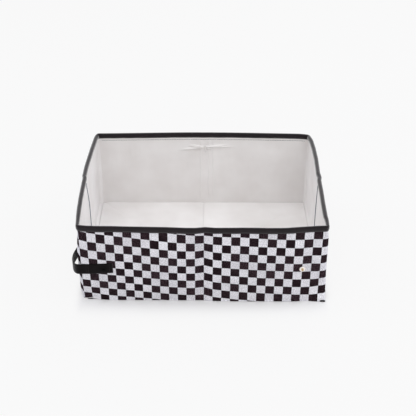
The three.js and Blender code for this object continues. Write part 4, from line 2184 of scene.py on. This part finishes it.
@dataclass(frozen=True)
class LiningTack:
    """Small covered tack that holds the lining at the middle of the back wall."""

    form: WallForm
    relief: LiningRelief
    finishes: Finishes
    profile: Table = (
        (2.6, -0.3), (3.0, 0.0), (3.15, 0.5), (2.95, 1.0), (2.4, 1.4), (1.5, 1.65), (0.7, 1.6), (0.2, 1.5),
    )

    def build(self) -> None:
        """Make the tack."""
        along, height = self.relief.tack()
        spot = self.form.place(along, height, self.form.sizes.panel)
        front = (0.0, -1.0, 0.0)
        piece = turned("lining_tack_button", self.profile, tuple(spot), front, self.finishes.lining)
        settle(piece, Motion("back_right"), ["liner_tack"])


@dataclass(frozen=True)
class CornerTab:
    """Folded end of a strip of tape, at the bottom of the front right corner."""

    form: WallForm
    finishes: Finishes
    # How far the tab starts before the corner and reaches beyond it, and its section
    start: float = 6.0 * MM
    reach: float = 0.4 * MM
    tall: float = 3.2 * MM
    thick: float = 1.5 * MM
    # Reach of the bend at the corner, on both sides
    zone: float = 8.0 * MM

    def build(self) -> None:
        """Make the tab."""
        sizes = self.form.sizes
        run = spread(-self.start, self.reach, 0.8 * MM)
        turn = np.linspace(0.0, 2 * math.pi, 14, endpoint=False)
        squareness = 0.5
        out = np.sign(np.sin(turn)) * np.abs(np.sin(turn)) ** squareness * self.thick / 2
        up = np.sign(np.cos(turn)) * np.abs(np.cos(turn)) ** squareness * self.tall / 2
        from_middle = np.abs(2 * (run + self.start) / (self.start + self.reach) - 1.0)
        ends = np.sqrt(np.clip(1.0 - from_middle**6, 0.05, 1.0))
        x = np.repeat(sizes.width / 2 + run[:, None], len(turn), 1)
        y = -sizes.depth / 2 - 1.15 * MM - out * ends[:, None]
        z = self.tall * 0.55 + up * ends[:, None]
        plan = np.stack([x, y], -1)
        held = np.stack([np.minimum(x, sizes.width / 2), y], -1)
        plan = plan + self.form.tuck(held, z)
        draft = MeshDraft()
        points = np.concatenate([plan, z[..., None]], -1)
        draft.sweep(points, np.stack(np.broadcast_arrays(run[:, None], turn * MM), -1))
        piece = draft.make("corner_tab", self.finishes.binding)
        edge = (sizes.width / 2, -sizes.depth / 2, 0.0)
        start = (edge[0] - self.zone, edge[1], 0.0)
        end = (edge[0], edge[1] + self.zone, 0.0)
        settle(piece, Motion("front_right", other="right_front", start=start, end=end))


# Studio


@dataclass(frozen=True)
class Lamp:
    """A soft rectangular lamp that points at the box."""

    name: str
    place: Point
    size: float
    power: float
    colour: str = "#ffffff"

    def build(self, aim: Vector) -> None:
        """Make the lamp, pointed at a place.

        Args:
            aim: The place.
        """
        light = bpy.data.lights.new(self.name, "AREA")
        light.shape = "SQUARE"
        light.size = self.size
        light.energy = self.power
        light.color = linear(self.colour)[:3]
        lamp = bpy.data.objects.new(self.name, light)
        lamp.location = self.place
        lamp.rotation_euler = (aim - Vector(self.place)).to_track_quat("-Z", "Y").to_euler()
        bpy.context.scene.collection.objects.link(lamp)


@dataclass(frozen=True)
class Studio:
    """Pale floor, soft lamps and the camera at the photograph's angle."""

    floor_half: float = 6.0
    place: Point = (3.2 * MM, -1214.6 * MM, 882.3 * MM)
    # Angles of the view in degrees
    pitch: float = 33.243
    yaw: float = -0.239
    roll: float = -0.252
    # Focal length in pixels of the 416-pixel frame
    focal_pixels: float = 819.3
    frame_pixels: float = 416.0
    sensor: float = 36.0
    lamps: tuple[Lamp, ...] = (
        Lamp("softbox_above", (-0.3, -0.5, 2.2), 2.4, 22.5),
        Lamp("softbox_front", (0.9, -2.3, 1.5), 2.0, 15.5),
        Lamp("softbox_back", (0.6, 1.9, 1.6), 1.8, 15.0),
        Lamp("softbox_right", (2.0, 0.1, 1.5), 1.6, 25.0, "#f1f5ff"),
        Lamp("softbox_left", (-2.0, 0.1, 1.5), 1.6, 19.0, "#f1f5ff"),
    )
    aim: Point = (0.0, 0.0, 0.05)
    # Strength of the light from all round, and of the white that is seen behind the box
    world_fill: float = 0.58
    world_seen: float = 0.945

    def camera(self) -> None:
        """Make the camera."""
        pitch, yaw, roll = (math.radians(angle) for angle in (self.pitch, self.yaw, self.roll))
        level = Vector((math.cos(yaw), math.sin(yaw), 0.0))
        flat, fall = math.cos(pitch), -math.sin(pitch)
        ahead = Vector((-math.sin(yaw) * flat, math.cos(yaw) * flat, fall))
        above = level.cross(ahead)
        right = level * math.cos(roll) - above * math.sin(roll)
        up = level * math.sin(roll) + above * math.cos(roll)
        lens = bpy.data.cameras.new("camera")
        lens.sensor_fit = "HORIZONTAL"
        lens.sensor_width = self.sensor
        lens.lens = self.focal_pixels / self.frame_pixels * self.sensor
        lens.clip_end = 60.0
        camera = bpy.data.objects.new("camera", lens)
        turn = Matrix((right, up, -ahead)).transposed().to_4x4()
        camera.matrix_world = Matrix.Translation(self.place) @ turn
        bpy.context.scene.collection.objects.link(camera)
        bpy.context.scene.camera = camera

    def floor(self) -> None:
        """Make the floor."""
        draft = MeshDraft()
        side = spread(-self.floor_half, self.floor_half, self.floor_half / 4)
        x, y = np.meshgrid(side, side)
        flat = np.zeros_like(x)
        # The floor lies just under the box, so that the two don't touch
        upper = np.stack([x, y, flat - 0.05 * MM], -1)
        lower = np.stack([x, y, flat - 5.0 * MM], -1)
        draft.slab(upper, lower, np.stack([x, y], -1))
        draft.make("studio_floor", StudioFloor().make())

    def world(self) -> None:
        """Light the scene from all round, and show near white behind it."""
        world = bpy.data.worlds.new("studio")
        world.use_nodes = True
        tree = world.node_tree
        tree.nodes.clear()
        steps = {0: seen_rays(tree), 1: self.world_seen - self.world_fill, 2: self.world_fill}
        strength = add_node(tree, "Math", steps, operation="MULTIPLY_ADD")
        glow = add_node(tree, "Background", {"Color": linear("#ffffff"), "Strength": strength})
        add_node(tree, "OutputWorld", {"Surface": glow})
        bpy.context.scene.world = world

    def build(self) -> None:
        """Set up the studio."""
        scene = bpy.context.scene
        scene.view_settings.view_transform = "Standard"
        self.camera()
        self.floor()
        self.world()
        for lamp in self.lamps:
            lamp.build(Vector(self.aim))


def main() -> None:
    """Build the studio and every piece of the box, in order."""
    logging.basicConfig(level=logging.INFO, format="%(message)s")
    sizes = BoxSizes.from_frame()
    form = WallForm(sizes)
    finishes = Finishes()
    Studio().build()
    LOG.info("studio ready")
    Walls(form, finishes).build()
    LOG.info("walls ready")
    Floor(sizes, finishes).build()
    LOG.info("floor ready")
    Handle(form, finishes).build()
    Snap(form, finishes).build()
    LiningTack(form, LiningRelief(form), finishes).build()
    CornerTab(form, finishes).build()
    LOG.info("small parts ready")


if __name__ == "__main__":
    main()
